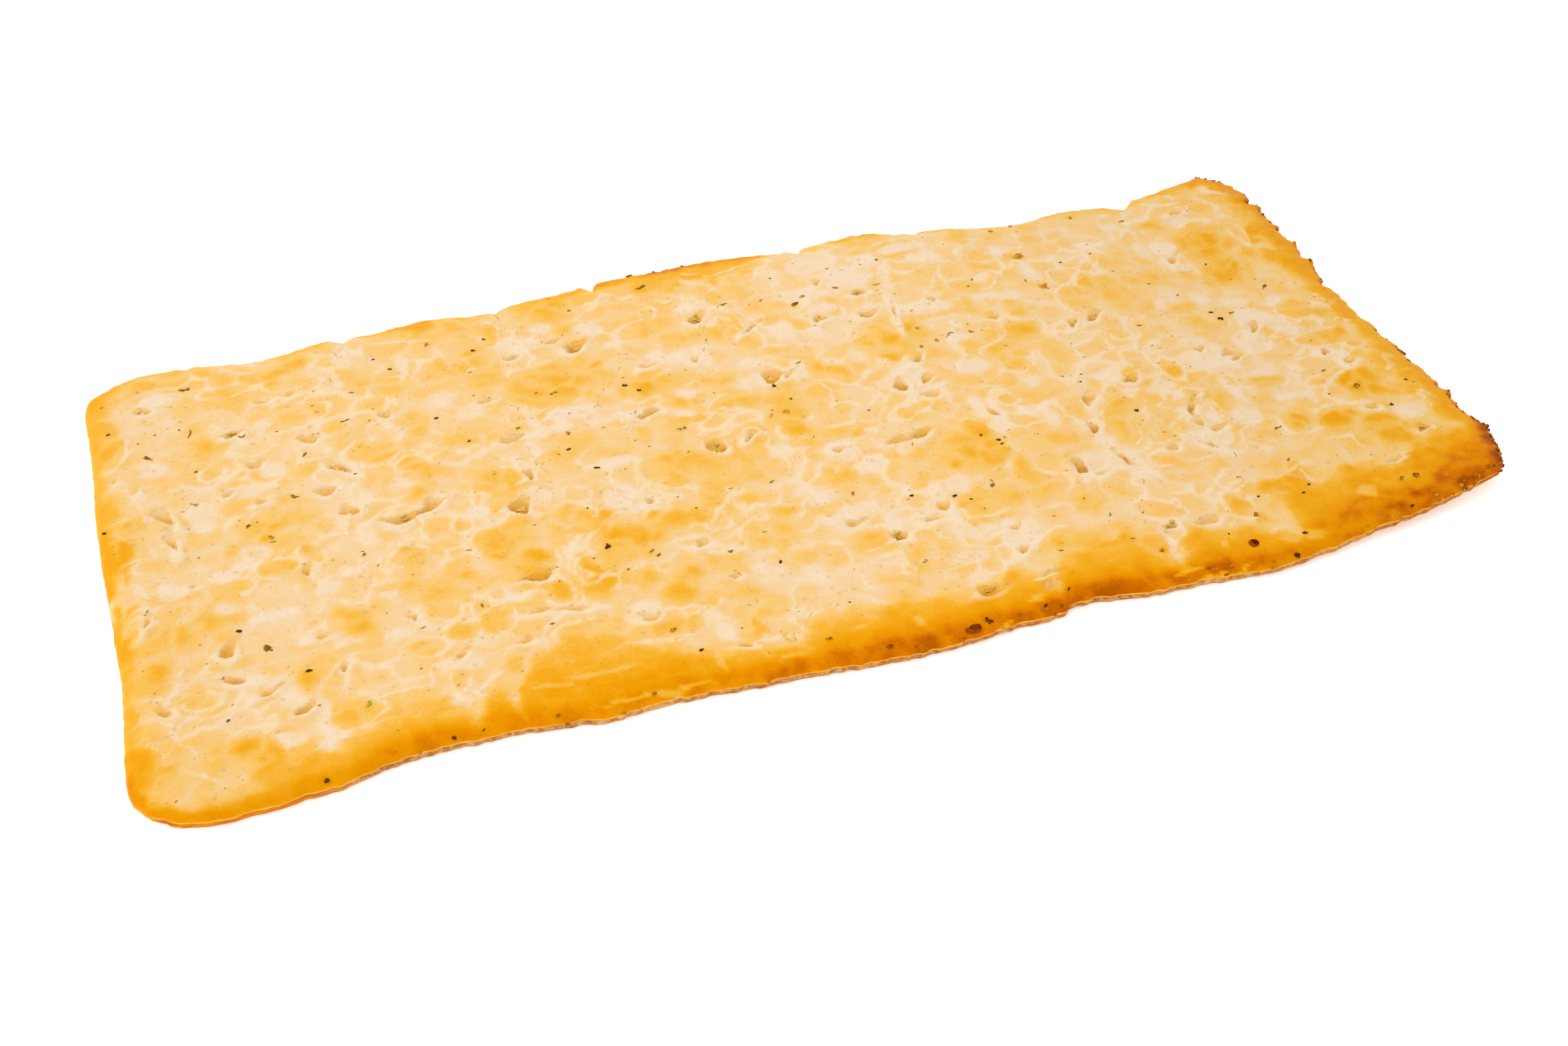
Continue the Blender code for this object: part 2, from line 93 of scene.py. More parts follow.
# The lip's outline runs through these places, anticlockwise from the front left
EDGE_POINTS = (
    (-81.1, -34.0), (-80.2, -37.1), (-77.7, -39.8), (-73.4, -41.1), (-65.3, -40.9),
    (-59.5, -40.2), (-55.0, -39.0), (-46.3, -38.3), (-37.2, -38.8), (-32.2, -39.4),
    (-19.2, -39.3), (-7.2, -40.0), (0.8, -40.5), (12.8, -39.8), (18.8, -39.4),
    (20.7, -38.3), (25.8, -38.7), (33.0, -39.5), (44.8, -40.1), (50.5, -39.7),
    (55.4, -39.0), (65.0, -37.3), (73.0, -35.5), (77.2, -34.1), (79.2, -31.5),
    (80.2, -28.4), (80.5, -22.0), (80.6, -10.0), (80.5, 0.0), (80.4, 7.5),
    (80.2, 11.5), (80.7, 16.0), (81.0, 24.0), (81.2, 31.0), (81.1, 36.0),
    (79.9, 39.0), (77.3, 41.5), (73.4, 41.0), (69.8, 40.2), (65.4, 39.1),
    (61.0, 38.5), (55.0, 39.2), (47.0, 38.4), (42.2, 38.8), (38.2, 40.1),
    (29.7, 41.4), (25.0, 42.9), (14.7, 41.8), (5.0, 42.6), (-1.0, 42.6),
    (-11.0, 42.2), (-21.5, 41.0), (-28.0, 39.8), (-37.0, 40.6), (-43.5, 39.7),
    (-49.0, 39.8), (-58.0, 38.2), (-66.0, 39.5), (-73.6, 39.1), (-77.4, 36.9),
    (-79.4, 33.7), (-79.8, 20.0), (-80.2, 12.0), (-80.3, 3.0), (-80.2, -10.0),
    (-80.2, -20.0), (-80.7, -27.0),
)
# Where the front starts, then the right side, the back and the left side
CORNERS = ((-78.9, -38.8), (78.6, -32.4), (78.9, 40.2), (-78.6, 35.9))
# Notches in the edge, and crags that stand out where the depth is less than zero:
# (x, y, width along the edge, depth)
NOTCHES = (
    (62.6, 38.6, 4.5, 2.0), (-47.2, 39.8, 3.0, 1.5), (-13.7, 42.0, 1.9, 2.3),
    (15.4, 41.8, 2.4, 1.3), (-26.7, 39.8, 2.0, 0.7), (32.6, 41.0, 2.2, 0.8),
    (-66.7, 39.4, 2.0, 0.7), (-3.5, 42.5, 1.4, 0.5), (25.2, 42.8, 1.2, 0.5),
    (21.6, 42.2, 1.6, 0.6), (81.1, 33.0, 2.0, 1.1), (80.3, 10.2, 3.0, 0.6),
    (21.2, -38.3, 2.4, 0.08), (-58.6, -40.0, 3.0, 0.4), (81.1, 31.4, 2.2, -0.8),
    (81.1, 25.9, 1.8, -0.8), (80.9, 21.0, 1.8, -0.7), (80.7, 16.3, 1.4, -0.7),
    (80.5, -15.5, 1.4, -0.4), (80.5, -18.0, 2.2, -0.6), (80.4, -26.0, 2.6, -0.7),
    (76.8, 41.5, 2.2, -0.5), (80.3, 37.8, 1.2, -0.5), (79.4, 39.6, 1.0, -0.4),
    (81.4, 28.6, 1.2, 0.4), (81.2, 23.4, 1.4, 0.4), (80.2, -29.4, 1.6, 0.5),
)
# Width of the fine teeth's swing along each side: front, right, back, left
SERRATION = (0.20, 0.22, 0.15, 0.05)


def smooth(share):
    """Smoothstep: 3t^2 - 2t^3, with t held between 0 and 1."""
    share = np.clip(share, 0.0, 1.0)
    return share * share * (3.0 - 2.0 * share)


def swells(x, y, size, seed):
    """Slow random field from -1 to 1: random values on a square lattice of that
    cell size, each place's four neighbours blended by a smoothstep."""
    count = 256
    lattice = np.random.default_rng(seed).uniform(-1.0, 1.0, (count, count))
    across, along = x / size + count / 2, y / size + count / 2
    column, row = np.floor(across).astype(int), np.floor(along).astype(int)
    blend_x, blend_y = smooth(across - column), smooth(along - row)
    column, row = column % (count - 1), row % (count - 1)
    near = lattice[column, row] * (1.0 - blend_x) + lattice[column + 1, row] * blend_x
    far = lattice[column, row + 1] * (1.0 - blend_x) + lattice[column + 1, row + 1] * blend_x
    return near * (1.0 - blend_y) + far * blend_y


def ripples(x, y, size, seed):
    """Three layers of swells, each half the size and half the height of the last."""
    return sum(0.5 ** k * swells(x, y, size * 0.5 ** k, seed + k) for k in range(3))


def closed_curve(points, places=24):
    """Closed Catmull-Rom curve through the points, with that many places to a span:
    the cubic through both its ends, whose slope at each end is half the step from
    the point before that end to the point after it."""
    start = np.array(points, float)
    before, end, after = np.roll(start, 1, 0), np.roll(start, -1, 0), np.roll(start, -2, 0)
    t = np.linspace(0.0, 1.0, places, endpoint=False)[None, :, None]
    curve = 0.5 * (2.0 * start[:, None] + (end - before)[:, None] * t
                   + (2.0 * before - 5.0 * start + 4.0 * end - after)[:, None] * t ** 2
                   + (3.0 * start - before - 3.0 * end + after)[:, None] * t ** 3)
    return curve.reshape(-1, 2)


def four_sides(curve, corners, counts):
    """The closed curve as one loop of evenly spaced points, side after side from
    the first corner, with the given count of points on each side. Gives back the
    points, and how far along the curve each one is."""
    starts = [int(np.hypot(*(curve - corner).T).argmin()) for corner in corners]
    curve = np.roll(curve, -starts[0], 0)
    starts = [(start - starts[0]) % len(curve) for start in starts] + [len(curve)]
    closed = np.vstack([curve, curve[:1]])
    run = np.concatenate([[0.0], np.cumsum(np.hypot(*np.diff(closed, axis=0).T))])
    places = np.concatenate([np.linspace(run[a], run[b], count, endpoint=False)
                             for a, b, count in zip(starts, starts[1:], counts)])
    return np.stack([np.interp(places, run, closed[:, axis]) for axis in (0, 1)], -1), places


def outward(loop, reach):
    """Unit normals of a counterclockwise loop, each the mean over a reach of
    points to either side, so that they fan out evenly round the corners."""
    along = np.roll(loop, -1, 0) - np.roll(loop, 1, 0)
    normals = np.stack([along[:, 1], -along[:, 0]], -1)
    normals /= np.hypot(*normals.T)[:, None]
    wrapped = np.vstack([normals[-reach:], normals, normals[:reach]])
    total = np.cumsum(np.vstack([np.zeros(2), wrapped]), 0)
    mean = total[2 * reach + 1:] - total[:-2 * reach - 1]
    return mean / np.hypot(*mean.T)[:, None]


def distance_to(loop, x, y):
    """Distance from each place (x, y) to the nearest side of a closed loop."""
    side = np.roll(loop, -1, 0) - loop
    from_x, from_y = x[:, None] - loop[None, :, 0], y[:, None] - loop[None, :, 1]
    part = np.clip((from_x * side[:, 0] + from_y * side[:, 1]) / (side ** 2).sum(1), 0.0, 1.0)
    return np.hypot(from_x - part * side[:, 0], from_y - part * side[:, 1]).min(1)


def curl(x, y):
    """Height of the underside over the floor: zero up to the curl's start, and then
    its rise times the power 1.5 of the way past that, in parts of its length."""
    reach = x * math.cos(CURL_HEADING) + y * math.sin(CURL_HEADING)
    return CURL * np.clip((reach - CURL_START) / CURL_LENGTH, 0.0, 1.2) ** 1.5


def form_height(x, y, inward):
    """Height of the smooth top: the curl, plus a quarter ellipse from the lip up
    to the full thickness over the rounding's width."""
    share = np.clip(inward / ROUNDING, 0.0, 1.0)
    return curl(x, y) + LIP_HEIGHT + (THICKNESS - LIP_HEIGHT) * np.sqrt(1.0 - (1.0 - share) ** 2)


side_counts = (ALONG, ACROSS, ALONG, ACROSS)
outline, run = four_sides(closed_curve(EDGE_POINTS), CORNERS, side_counts)
fan = outward(outline, 20)
coarse_outline = outline[::4]


def on_crust(places):
    """The measured places slid along their sight lines, from the level plane that
    they were measured on to the smooth top of the sheet."""
    places = np.array(places, float)
    measured = places[:, :2].copy()
    for _ in range(2):
        inward = distance_to(coarse_outline, places[:, 0], places[:, 1])
        rise = form_height(places[:, 0], places[:, 1], inward) - MEASURED_AT
        places[:, :2] = measured + (EYE[:2] - measured) * (rise / (EYE[2] - MEASURED_AT))[:, None]
    return places


# Islands that the oven browned, as (x, y, half length along X, half width along Y),
# from barely warm to toasted. Each is an ellipse whose edge wanders.
WARM = on_crust((
    (-67.5, 36.2, 7.5, 2.0), (-54.5, 33.2, 1.5, 1.8), (-62.0, 29.5, 4.0, 1.6), (-46.4, 29.8, 1.6, 2.1),
    (-42.5, 26.0, 2.5, 1.8), (-59.5, 26.0, 1.2, 1.5), (-56.5, 24.0, 2.5, 2.5), (-53.0, 24.2, 1.8, 1.2),
    (-67.5, 19.5, 3.2, 6.3), (-71.2, 14.8, 1.5, 1.6), (-51.0, 20.0, 1.6, 1.6), (-49.0, 17.5, 2.0, 1.8),
    (-48.5, 16.0, 1.0, 1.0), (-51.0, 15.5, 1.0, 1.0), (-43.5, 14.0, 1.6, 0.9), (-58.0, 10.2, 1.8, 1.3),
    (-65.0, 8.0, 1.8, 1.4), (-47.7, 7.8, 1.8, 3.0), (-60.0, 3.0, 5.5, 4.0), (-72.0, -0.5, 3.5, 1.3),
    (-77.0, 10.0, 1.6, 4.0), (-73.0, 28.5, 1.2, 1.0), (-66.5, -6.5, 1.4, 1.3), (-73.8, -9.0, 1.1, 1.0),
    (-58.7, -6.5, 0.8, 1.6), (-47.5, -11.0, 1.6, 2.2), (-43.0, -3.8, 2.0, 2.0), (-42.5, -6.0, 1.2, 1.4),
    (-44.5, -12.8, 2.8, 0.9), (-67.5, -12.3, 2.1, 1.6), (-74.0, -16.0, 3.2, 2.2), (-72.0, -23.8, 3.2, 2.3),
    (-60.2, -23.5, 1.8, 2.2), (-48.0, -29.5, 0.9, 2.1), (-49.3, -32.0, 1.1, 1.1), (-74.5, -35.0, 2.2, 2.6),
    (-55.5, -18.5, 1.6, 1.1), (-58.0, -28.7, 1.1, 0.8), (-33.0, 26.0, 4.6, 5.2), (-20.5, 33.0, 2.6, 1.7),
    (-9.0, 32.0, 5.6, 4.6), (-6.0, 26.0, 6.0, 1.0), (-4.5, 14.0, 3.0, 2.1), (-16.0, 7.0, 1.6, 0.8),
    (-24.5, 7.0, 3.9, 3.1), (-36.0, 5.0, 3.1, 3.1), (-36.5, 13.0, 3.1, 1.9), (-39.0, 9.7, 1.5, 1.0),
    (-23.5, 20.5, 7.0, 4.8), (-10.0, -2.0, 8.0, 4.8), (-36.5, -8.0, 4.0, 3.2), (-26.0, -2.0, 1.3, 1.3),
    (-32.5, -18.5, 2.1, 2.7), (-12.5, -12.3, 1.3, 1.3), (-8.5, -15.5, 1.8, 1.3), (0.3, -22.5, 1.0, 1.0),
    (-33.0, -26.5, 2.4, 2.2), (-23.0, -29.0, 4.2, 2.0), (-11.0, -29.0, 2.1, 1.4), (5.5, 37.0, 2.6, 2.2),
    (6.0, 33.0, 1.3, 4.2), (2.5, 32.5, 1.4, 1.8), (24.0, 38.6, 4.5, 1.2), (38.0, 37.5, 3.2, 1.1),
    (27.5, 35.5, 1.0, 1.0), (37.8, 33.0, 1.3, 1.1), (28.8, 28.2, 1.6, 1.6), (32.3, 19.2, 1.3, 1.3),
    (16.0, 27.0, 1.1, 1.4), (7.5, 26.0, 1.6, 2.6), (9.8, 22.8, 1.2, 1.4), (1.0, 25.0, 1.8, 4.0),
    (3.0, 21.5, 1.6, 2.2), (5.0, 18.0, 1.3, 1.1), (7.5, 17.0, 2.1, 1.4), (20.5, 16.0, 5.6, 5.4),
    (24.3, 11.6, 2.0, 1.6), (33.0, 12.0, 4.4, 4.5), (29.5, 9.0, 1.2, 1.1), (38.7, 6.0, 1.5, 4.5),
    (24.0, 3.9, 0.9, 0.8), (27.2, 3.8, 2.1, 1.3), (23.7, 6.2, 1.1, 0.8), (6.2, 7.0, 2.0, 2.3),
    (9.5, 4.0, 1.0, 0.9), (18.0, 0.5, 3.1, 1.9), (33.8, -0.2, 2.6, 2.0),
    (29.0, 0.0, 1.3, 1.1), (3.0, -0.7, 2.7, 1.9), (2.0, -4.3, 1.4, 0.9), (4.0, -9.2, 2.6, 3.2),
    (9.3, -5.0, 1.3, 1.5), (8.5, -1.2, 1.4, 1.7), (11.3, -7.3, 1.3, 1.7), (12.7, -11.0, 2.8, 3.1),
    (7.9, -13.4, 0.9, 0.9), (20.0, -8.0, 6.2, 6.0), (25.5, -17.0, 3.2, 4.4), (18.8, -20.0, 4.8, 3.6),
    (16.5, -23.0, 1.6, 1.1), (30.0, -23.8, 2.9, 2.1), (33.9, -23.2, 1.5, 1.5), (30.3, -10.5, 4.3, 3.0),
    (28.5, -13.0, 1.6, 1.6), (36.0, -5.5, 1.6, 3.0), (40.0, -10.5, 2.1, 4.6), (41.2, -5.0, 1.3, 2.4),
    (10.5, -16.3, 1.4, 1.3), (9.2, -23.3, 1.1, 1.8), (2.8, -23.0, 2.6, 2.2), (6.8, -26.0, 1.3, 2.2),
    (10.5, -26.0, 1.1, 1.6), (14.0, -28.0, 1.6, 0.9), (2.5, -29.0, 1.6, 0.8), (14.0, -30.5, 1.3, 1.3),
    (8.0, -31.0, 2.6, 1.1), (50.0, 36.8, 11.0, 1.4), (70.0, 37.3, 3.6, 1.5), (73.0, 32.8, 1.9, 1.3),
    (47.3, 32.3, 1.7, 1.6), (51.0, 33.0, 1.3, 0.9), (47.5, 30.0, 1.9, 1.3), (55.5, 24.0, 2.4, 2.3),
    (50.8, 24.2, 0.8, 1.0), (47.5, 23.5, 1.6, 1.3), (51.7, 16.0, 3.0, 5.2), (47.0, 18.0, 2.4, 2.6),
    (58.7, 18.8, 2.4, 2.4), (69.5, 19.5, 5.2, 9.2), (74.3, 25.5, 1.6, 3.2), (72.0, 10.0, 3.6, 2.1),
    (58.3, 10.0, 1.6, 3.2), (60.3, 6.0, 3.4, 2.4), (54.0, 7.0, 1.3, 0.9), (48.2, 9.5, 1.3, 2.4),
    (62.3, 28.0, 1.1, 1.6), (66.5, 2.0, 1.3, 1.1), (72.7, 1.7, 1.0, 1.2), (47.5, 0.8, 1.6, 2.2),
    (53.0, -4.4, 2.0, 1.4), (49.7, -4.0, 0.8, 1.6), (58.6, -11.7, 1.4, 2.2), (68.0, -9.0, 2.6, 1.6),
    (70.8, -7.5, 1.0, 1.6), (68.3, -6.0, 1.7, 1.3), (64.5, -3.0, 2.0, 1.4), (67.5, -1.5, 2.1, 1.1),
    (53.5, -10.0, 1.9, 3.5), (55.0, -18.0, 2.1, 1.3), (46.5, -21.4, 1.9, 1.1), (52.0, -23.0, 1.9, 2.2),
    (43.5, -22.5, 2.1, 1.9), (43.5, -13.0, 1.6, 2.1), (44.7, -6.5, 1.6, 1.4), (42.0, -18.5, 2.0, 1.2),
    (40.7, -21.8, 0.9, 1.3), (56.2, -22.5, 1.0, 1.4), (62.5, -20.0, 3.2, 2.8), (66.0, -22.5, 2.8, 1.8),
    (67.5, -26.8, 2.2, 1.6), (47.0, -32.0, 3.5, 3.6), (61.0, -16.5, 2.3, 3.1), (65.5, -17.5, 3.3, 3.1),
    (72.0, -12.7, 3.8, 3.8), (76.0, -8.0, 2.5, 5.0), (-62.0, 36.8, 2.8, 2.2), (-54.5, 30.5, 3.4, 1.8),
    (-34.0, 36.0, 4.4, 2.8), (-10.0, 38.6, 4.6, 2.4), (4.5, 39.5, 5.6, 2.0), (-24.0, 17.2, 3.6, 2.8),
    (-20.0, 3.8, 4.0, 2.0), (-12.5, 6.5, 3.2, 2.6), (-3.0, 9.6, 4.0, 2.6), (-35.0, -1.0, 2.6, 2.6),
    (-47.0, -8.0, 3.0, 2.4), (-7.0, -5.6, 4.0, 2.4), (-3.0, 1.4, 2.4, 2.4), (-23.5, -13.0, 5.0, 4.0),
    (-35.5, -13.6, 4.4, 3.4), (-7.0, -17.6, 3.0, 2.6), (-14.0, -21.5, 3.0, 3.6), (-13.5, -27.0, 3.4, 2.4),
    (-45.5, -18.5, 2.4, 2.4), (-31.0, -26.4, 4.4, 3.4), (-54.0, -31.6, 6.0, 2.0), (-78.0, -28.5, 1.8, 2.4),
    (-77.0, -11.0, 2.4, 3.0), (50.5, -27.4, 4.4, 2.4), (69.5, -15.0, 4.6, 5.0), (70.0, -24.4, 4.0, 3.0),
    (45.0, 11.5, 3.6, 2.0), (52.0, 30.5, 1.6, 1.6), (76.5, 13.5, 2.4, 4.0), (-41.5, 19.0, 2.2, 3.2),
    (-66.0, 15.5, 2.6, 1.8), (22.0, -31.6, 3.6, 2.2), (26.5, 15.0, 1.4, 1.8), (-75.0, 34.2, 2.4, 1.8),
    (-68.6, -7.2, 1.6, 1.2), (-51.8, 12.6, 0.9, 2.2), (36.2, 26.2, 2.0, 2.0), (58.6, -30.0, 2.6, 1.4),
    (54.6, -34.2, 2.2, 1.6), (47.4, -36.4, 1.8, 1.8), (52.0, -37.4, 2.0, 1.2), (11.0, -26.8, 1.4, 1.4),
))
# What stays pale between them, where the dough stretched and stayed moist
PALE = on_crust((
    (-26.5, 30.0, 2.0, 2.2), (-24.0, 30.5, 1.0, 1.0), (-41.0, 30.0, 0.8, 2.8),
    (-22.0, 13.0, 4.0, 1.5), (-17.0, 11.3, 2.5, 0.8), (-27.5, 11.0, 1.5, 1.0), (-29.5, 7.8, 0.7, 2.0),
    (-37.0, 21.5, 2.0, 1.5), (-7.5, 21.3, 2.2, 1.2), (-10.0, 22.8, 1.0, 1.0), (-4.0, 20.0, 1.0, 2.0),
    (-1.0, 12.8, 1.5, 1.3), (-2.5, 31.5, 1.8, 1.0), (-21.0, 1.5, 2.0, 1.5), (-5.5, -25.5, 1.6, 2.0),
    (-10.5, -22.0, 1.0, 1.0), (-17.5, -31.5, 1.0, 1.5), (-1.2, -2.0, 1.2, 1.5), (-1.5, -10.5, 1.5, 1.0),
    (0.0, -17.0, 2.0, 0.7), (-38.0, -2.0, 1.5, 1.0), (-19.3, -7.5, 1.2, 1.0), (-17.0, -14.7, 2.0, 0.7),
    (-37.0, -18.5, 1.2, 1.5), (-25.0, -24.5, 1.2, 1.0), (-29.0, -12.0, 1.0, 1.0), (-74.3, -4.7, 0.8, 1.5),
    (-63.0, -13.0, 2.5, 0.8), (-60.0, -18.0, 1.0, 1.0), (-66.5, -22.5, 1.2, 1.0), (-51.0, -2.5, 1.0, 2.0),
    (-54.0, -8.0, 1.0, 1.0), (-51.0, -21.0, 1.2, 1.0), (-44.5, -27.3, 1.3, 1.0), (-60.3, -31.0, 0.6, 5.0),
    (-46.8, -32.7, 1.0, 0.8), (-47.5, 35.0, 0.8, 2.0), (20.0, 32.0, 3.5, 3.0), (23.0, 24.0, 1.0, 2.5),
    (7.3, 22.0, 1.5, 2.2), (11.0, 20.8, 1.3, 1.0), (25.0, 31.0, 1.0, 3.0), (32.7, 34.0, 1.2, 1.5),
    (30.0, 33.5, 1.3, 1.1), (19.0, 8.5, 2.8, 2.3), (1.3, 16.5, 1.5, 1.2), (0.2, 13.3, 1.0, 1.5),
    (26.5, 22.3, 1.0, 1.2), (29.5, 24.5, 1.0, 0.7), (36.0, 22.0, 1.6, 0.8), (28.5, 13.6, 1.5, 0.9),
    (29.8, 16.5, 0.6, 1.6), (28.0, 7.0, 2.0, 1.5), (20.5, 4.7, 2.5, 1.0), (5.7, -4.5, 2.0, 2.0),
    (8.5, -8.0, 1.3, 1.8), (13.0, -22.0, 1.0, 2.5), (13.5, -16.0, 1.3, 2.0), (19.5, -27.5, 2.2, 2.0),
    (18.7, -24.0, 1.5, 1.0), (2.5, -17.0, 2.8, 1.3), (6.0, -19.5, 1.0, 1.2), (11.5, -32.3, 1.2, 1.0),
    (25.0, -1.0, 0.9, 1.7), (27.0, -1.8, 0.8, 1.7), (31.0, -4.3, 2.2, 1.0), (33.5, -16.8, 3.2, 2.8),
    (36.3, -12.5, 0.9, 1.5), (38.3, -17.5, 0.8, 2.5), (48.5, -16.5, 2.6, 2.2), (50.7, -13.2, 0.9, 1.2),
    (49.7, -6.9, 1.0, 0.7), (55.0, -1.8, 1.5, 1.0), (57.8, -2.0, 1.8, 2.5), (58.3, 0.5, 1.0, 1.6),
    (56.0, -8.0, 0.8, 3.0), (62.0, -11.5, 2.0, 0.8), (64.8, -12.5, 0.7, 1.2), (73.0, -5.8, 1.0, 1.4),
    (70.3, -3.8, 1.4, 0.6), (74.6, -18.8, 2.0, 1.6), (66.3, 6.5, 1.8, 1.8), (68.0, 5.0, 1.2, 1.6),
    (66.0, 9.5, 2.0, 1.0), (62.3, 11.8, 1.3, 1.5), (56.3, 12.0, 1.0, 1.2), (62.8, 25.0, 1.8, 1.6),
    (54.0, 29.3, 1.9, 0.9), (43.8, 25.5, 1.0, 2.0), (41.3, 32.0, 1.3, 1.6), (58.5, 33.3, 1.4, 0.9),
    (62.5, 35.7, 1.4, 1.1), (68.5, 31.0, 1.3, 1.0), (44.0, -3.7, 1.0, 0.6), (42.5, -0.5, 1.6, 1.5),
    (44.5, 17.0, 0.6, 2.0), (54.0, 0.3, 2.0, 1.2), (-68.4, 7.0, 1.6, 2.4), (-34.8, 18.4, 1.6, 1.6),
    (-46.0, 5.6, 1.2, 1.8), (-63.4, -26.6, 1.8, 1.8), (-42.0, -24.4, 1.8, 1.3), (0.0, -12.6, 2.6, 1.4),
    (16.8, -15.2, 1.8, 1.8), (16.4, 36.8, 3.6, 2.6), (12.4, 29.4, 3.4, 1.6), (28.4, 21.4, 2.6, 1.4),
    (48.0, -4.2, 2.4, 1.6), (55.0, -14.2, 2.0, 2.0), (58.2, 13.6, 1.8, 1.8), (68.6, 3.4, 2.0, 2.0),
    (-17.0, 30.8, 2.0, 1.4), (-22.0, 33.4, 1.6, 1.3), (-72.8, 18.2, 1.4, 1.4),
    (-69.0, -10.8, 2.4, 0.9), (-73.4, -6.0, 1.4, 1.0), (-67.4, -4.2, 1.8, 0.9), (-64.4, -3.0, 1.8, 1.0),
    (-62.4, -1.4, 1.0, 0.9), (-62.6, 10.6, 2.8, 1.3), (-59.7, 23.5, 1.2, 1.2), (-42.4, 20.4, 1.0, 1.2),
    (-47.8, -1.8, 1.7, 1.1), (-30.5, -1.2, 1.2, 1.5), (-32.0, -5.0, 1.2, 0.8), (-22.0, -5.0, 1.8, 2.0),
    (-30.4, -28.8, 1.4, 1.0), (-65.0, -32.8, 1.5, 1.4), (15.2, -24.6, 1.6, 1.6),
    (39.6, -32.0, 1.0, 1.0), (60.0, 25.0, 1.0, 2.4), (14.2, 26.4, 2.2, 1.2), (29.0, 37.0, 3.4, 1.2),
    (23.0, 35.4, 1.8, 1.8), (10.6, 13.2, 1.2, 1.6), (-8.2, 13.2, 2.0, 0.9), (-28.0, 13.6, 1.0, 1.5),
    (-25.0, 10.9, 1.3, 0.9), (-19.6, 11.0, 1.3, 0.9), (-10.0, 8.9, 1.5, 0.7), (56.4, 3.0, 2.4, 0.9),
    (61.4, 0.0, 1.0, 1.8), (61.4, -6.0, 1.4, 0.9), (69.4, 1.6, 1.8, 0.9), (71.2, 8.2, 1.8, 0.9),
    (32.0, -7.0, 1.2, 1.8), (25.2, -5.6, 1.5, 1.3), (13.6, -7.0, 1.3, 1.1), (11.0, -1.4, 1.3, 0.9),
    (-16.0, -10.4, 1.2, 0.9), (-56.0, -10.2, 1.3, 1.1), (-56.0, -19.4, 1.3, 1.2),
    (-65.0, -23.6, 1.0, 1.5), (-71.5, 33.0, 1.8, 1.0), (38.4, 21.2, 2.2, 0.9), (17.6, 17.6, 1.4, 1.0),
    (-59.2, 13.6, 1.7, 1.3), (14.5, 13.8, 1.0, 1.7), (33.0, 2.0, 1.3, 1.4), (12.6, -28.0, 2.2, 1.1),
    (36.8, 26.6, 1.6, 1.0), (34.6, -33.4, 0.5, 1.6), (15.4, 7.6, 1.1, 1.4),
))
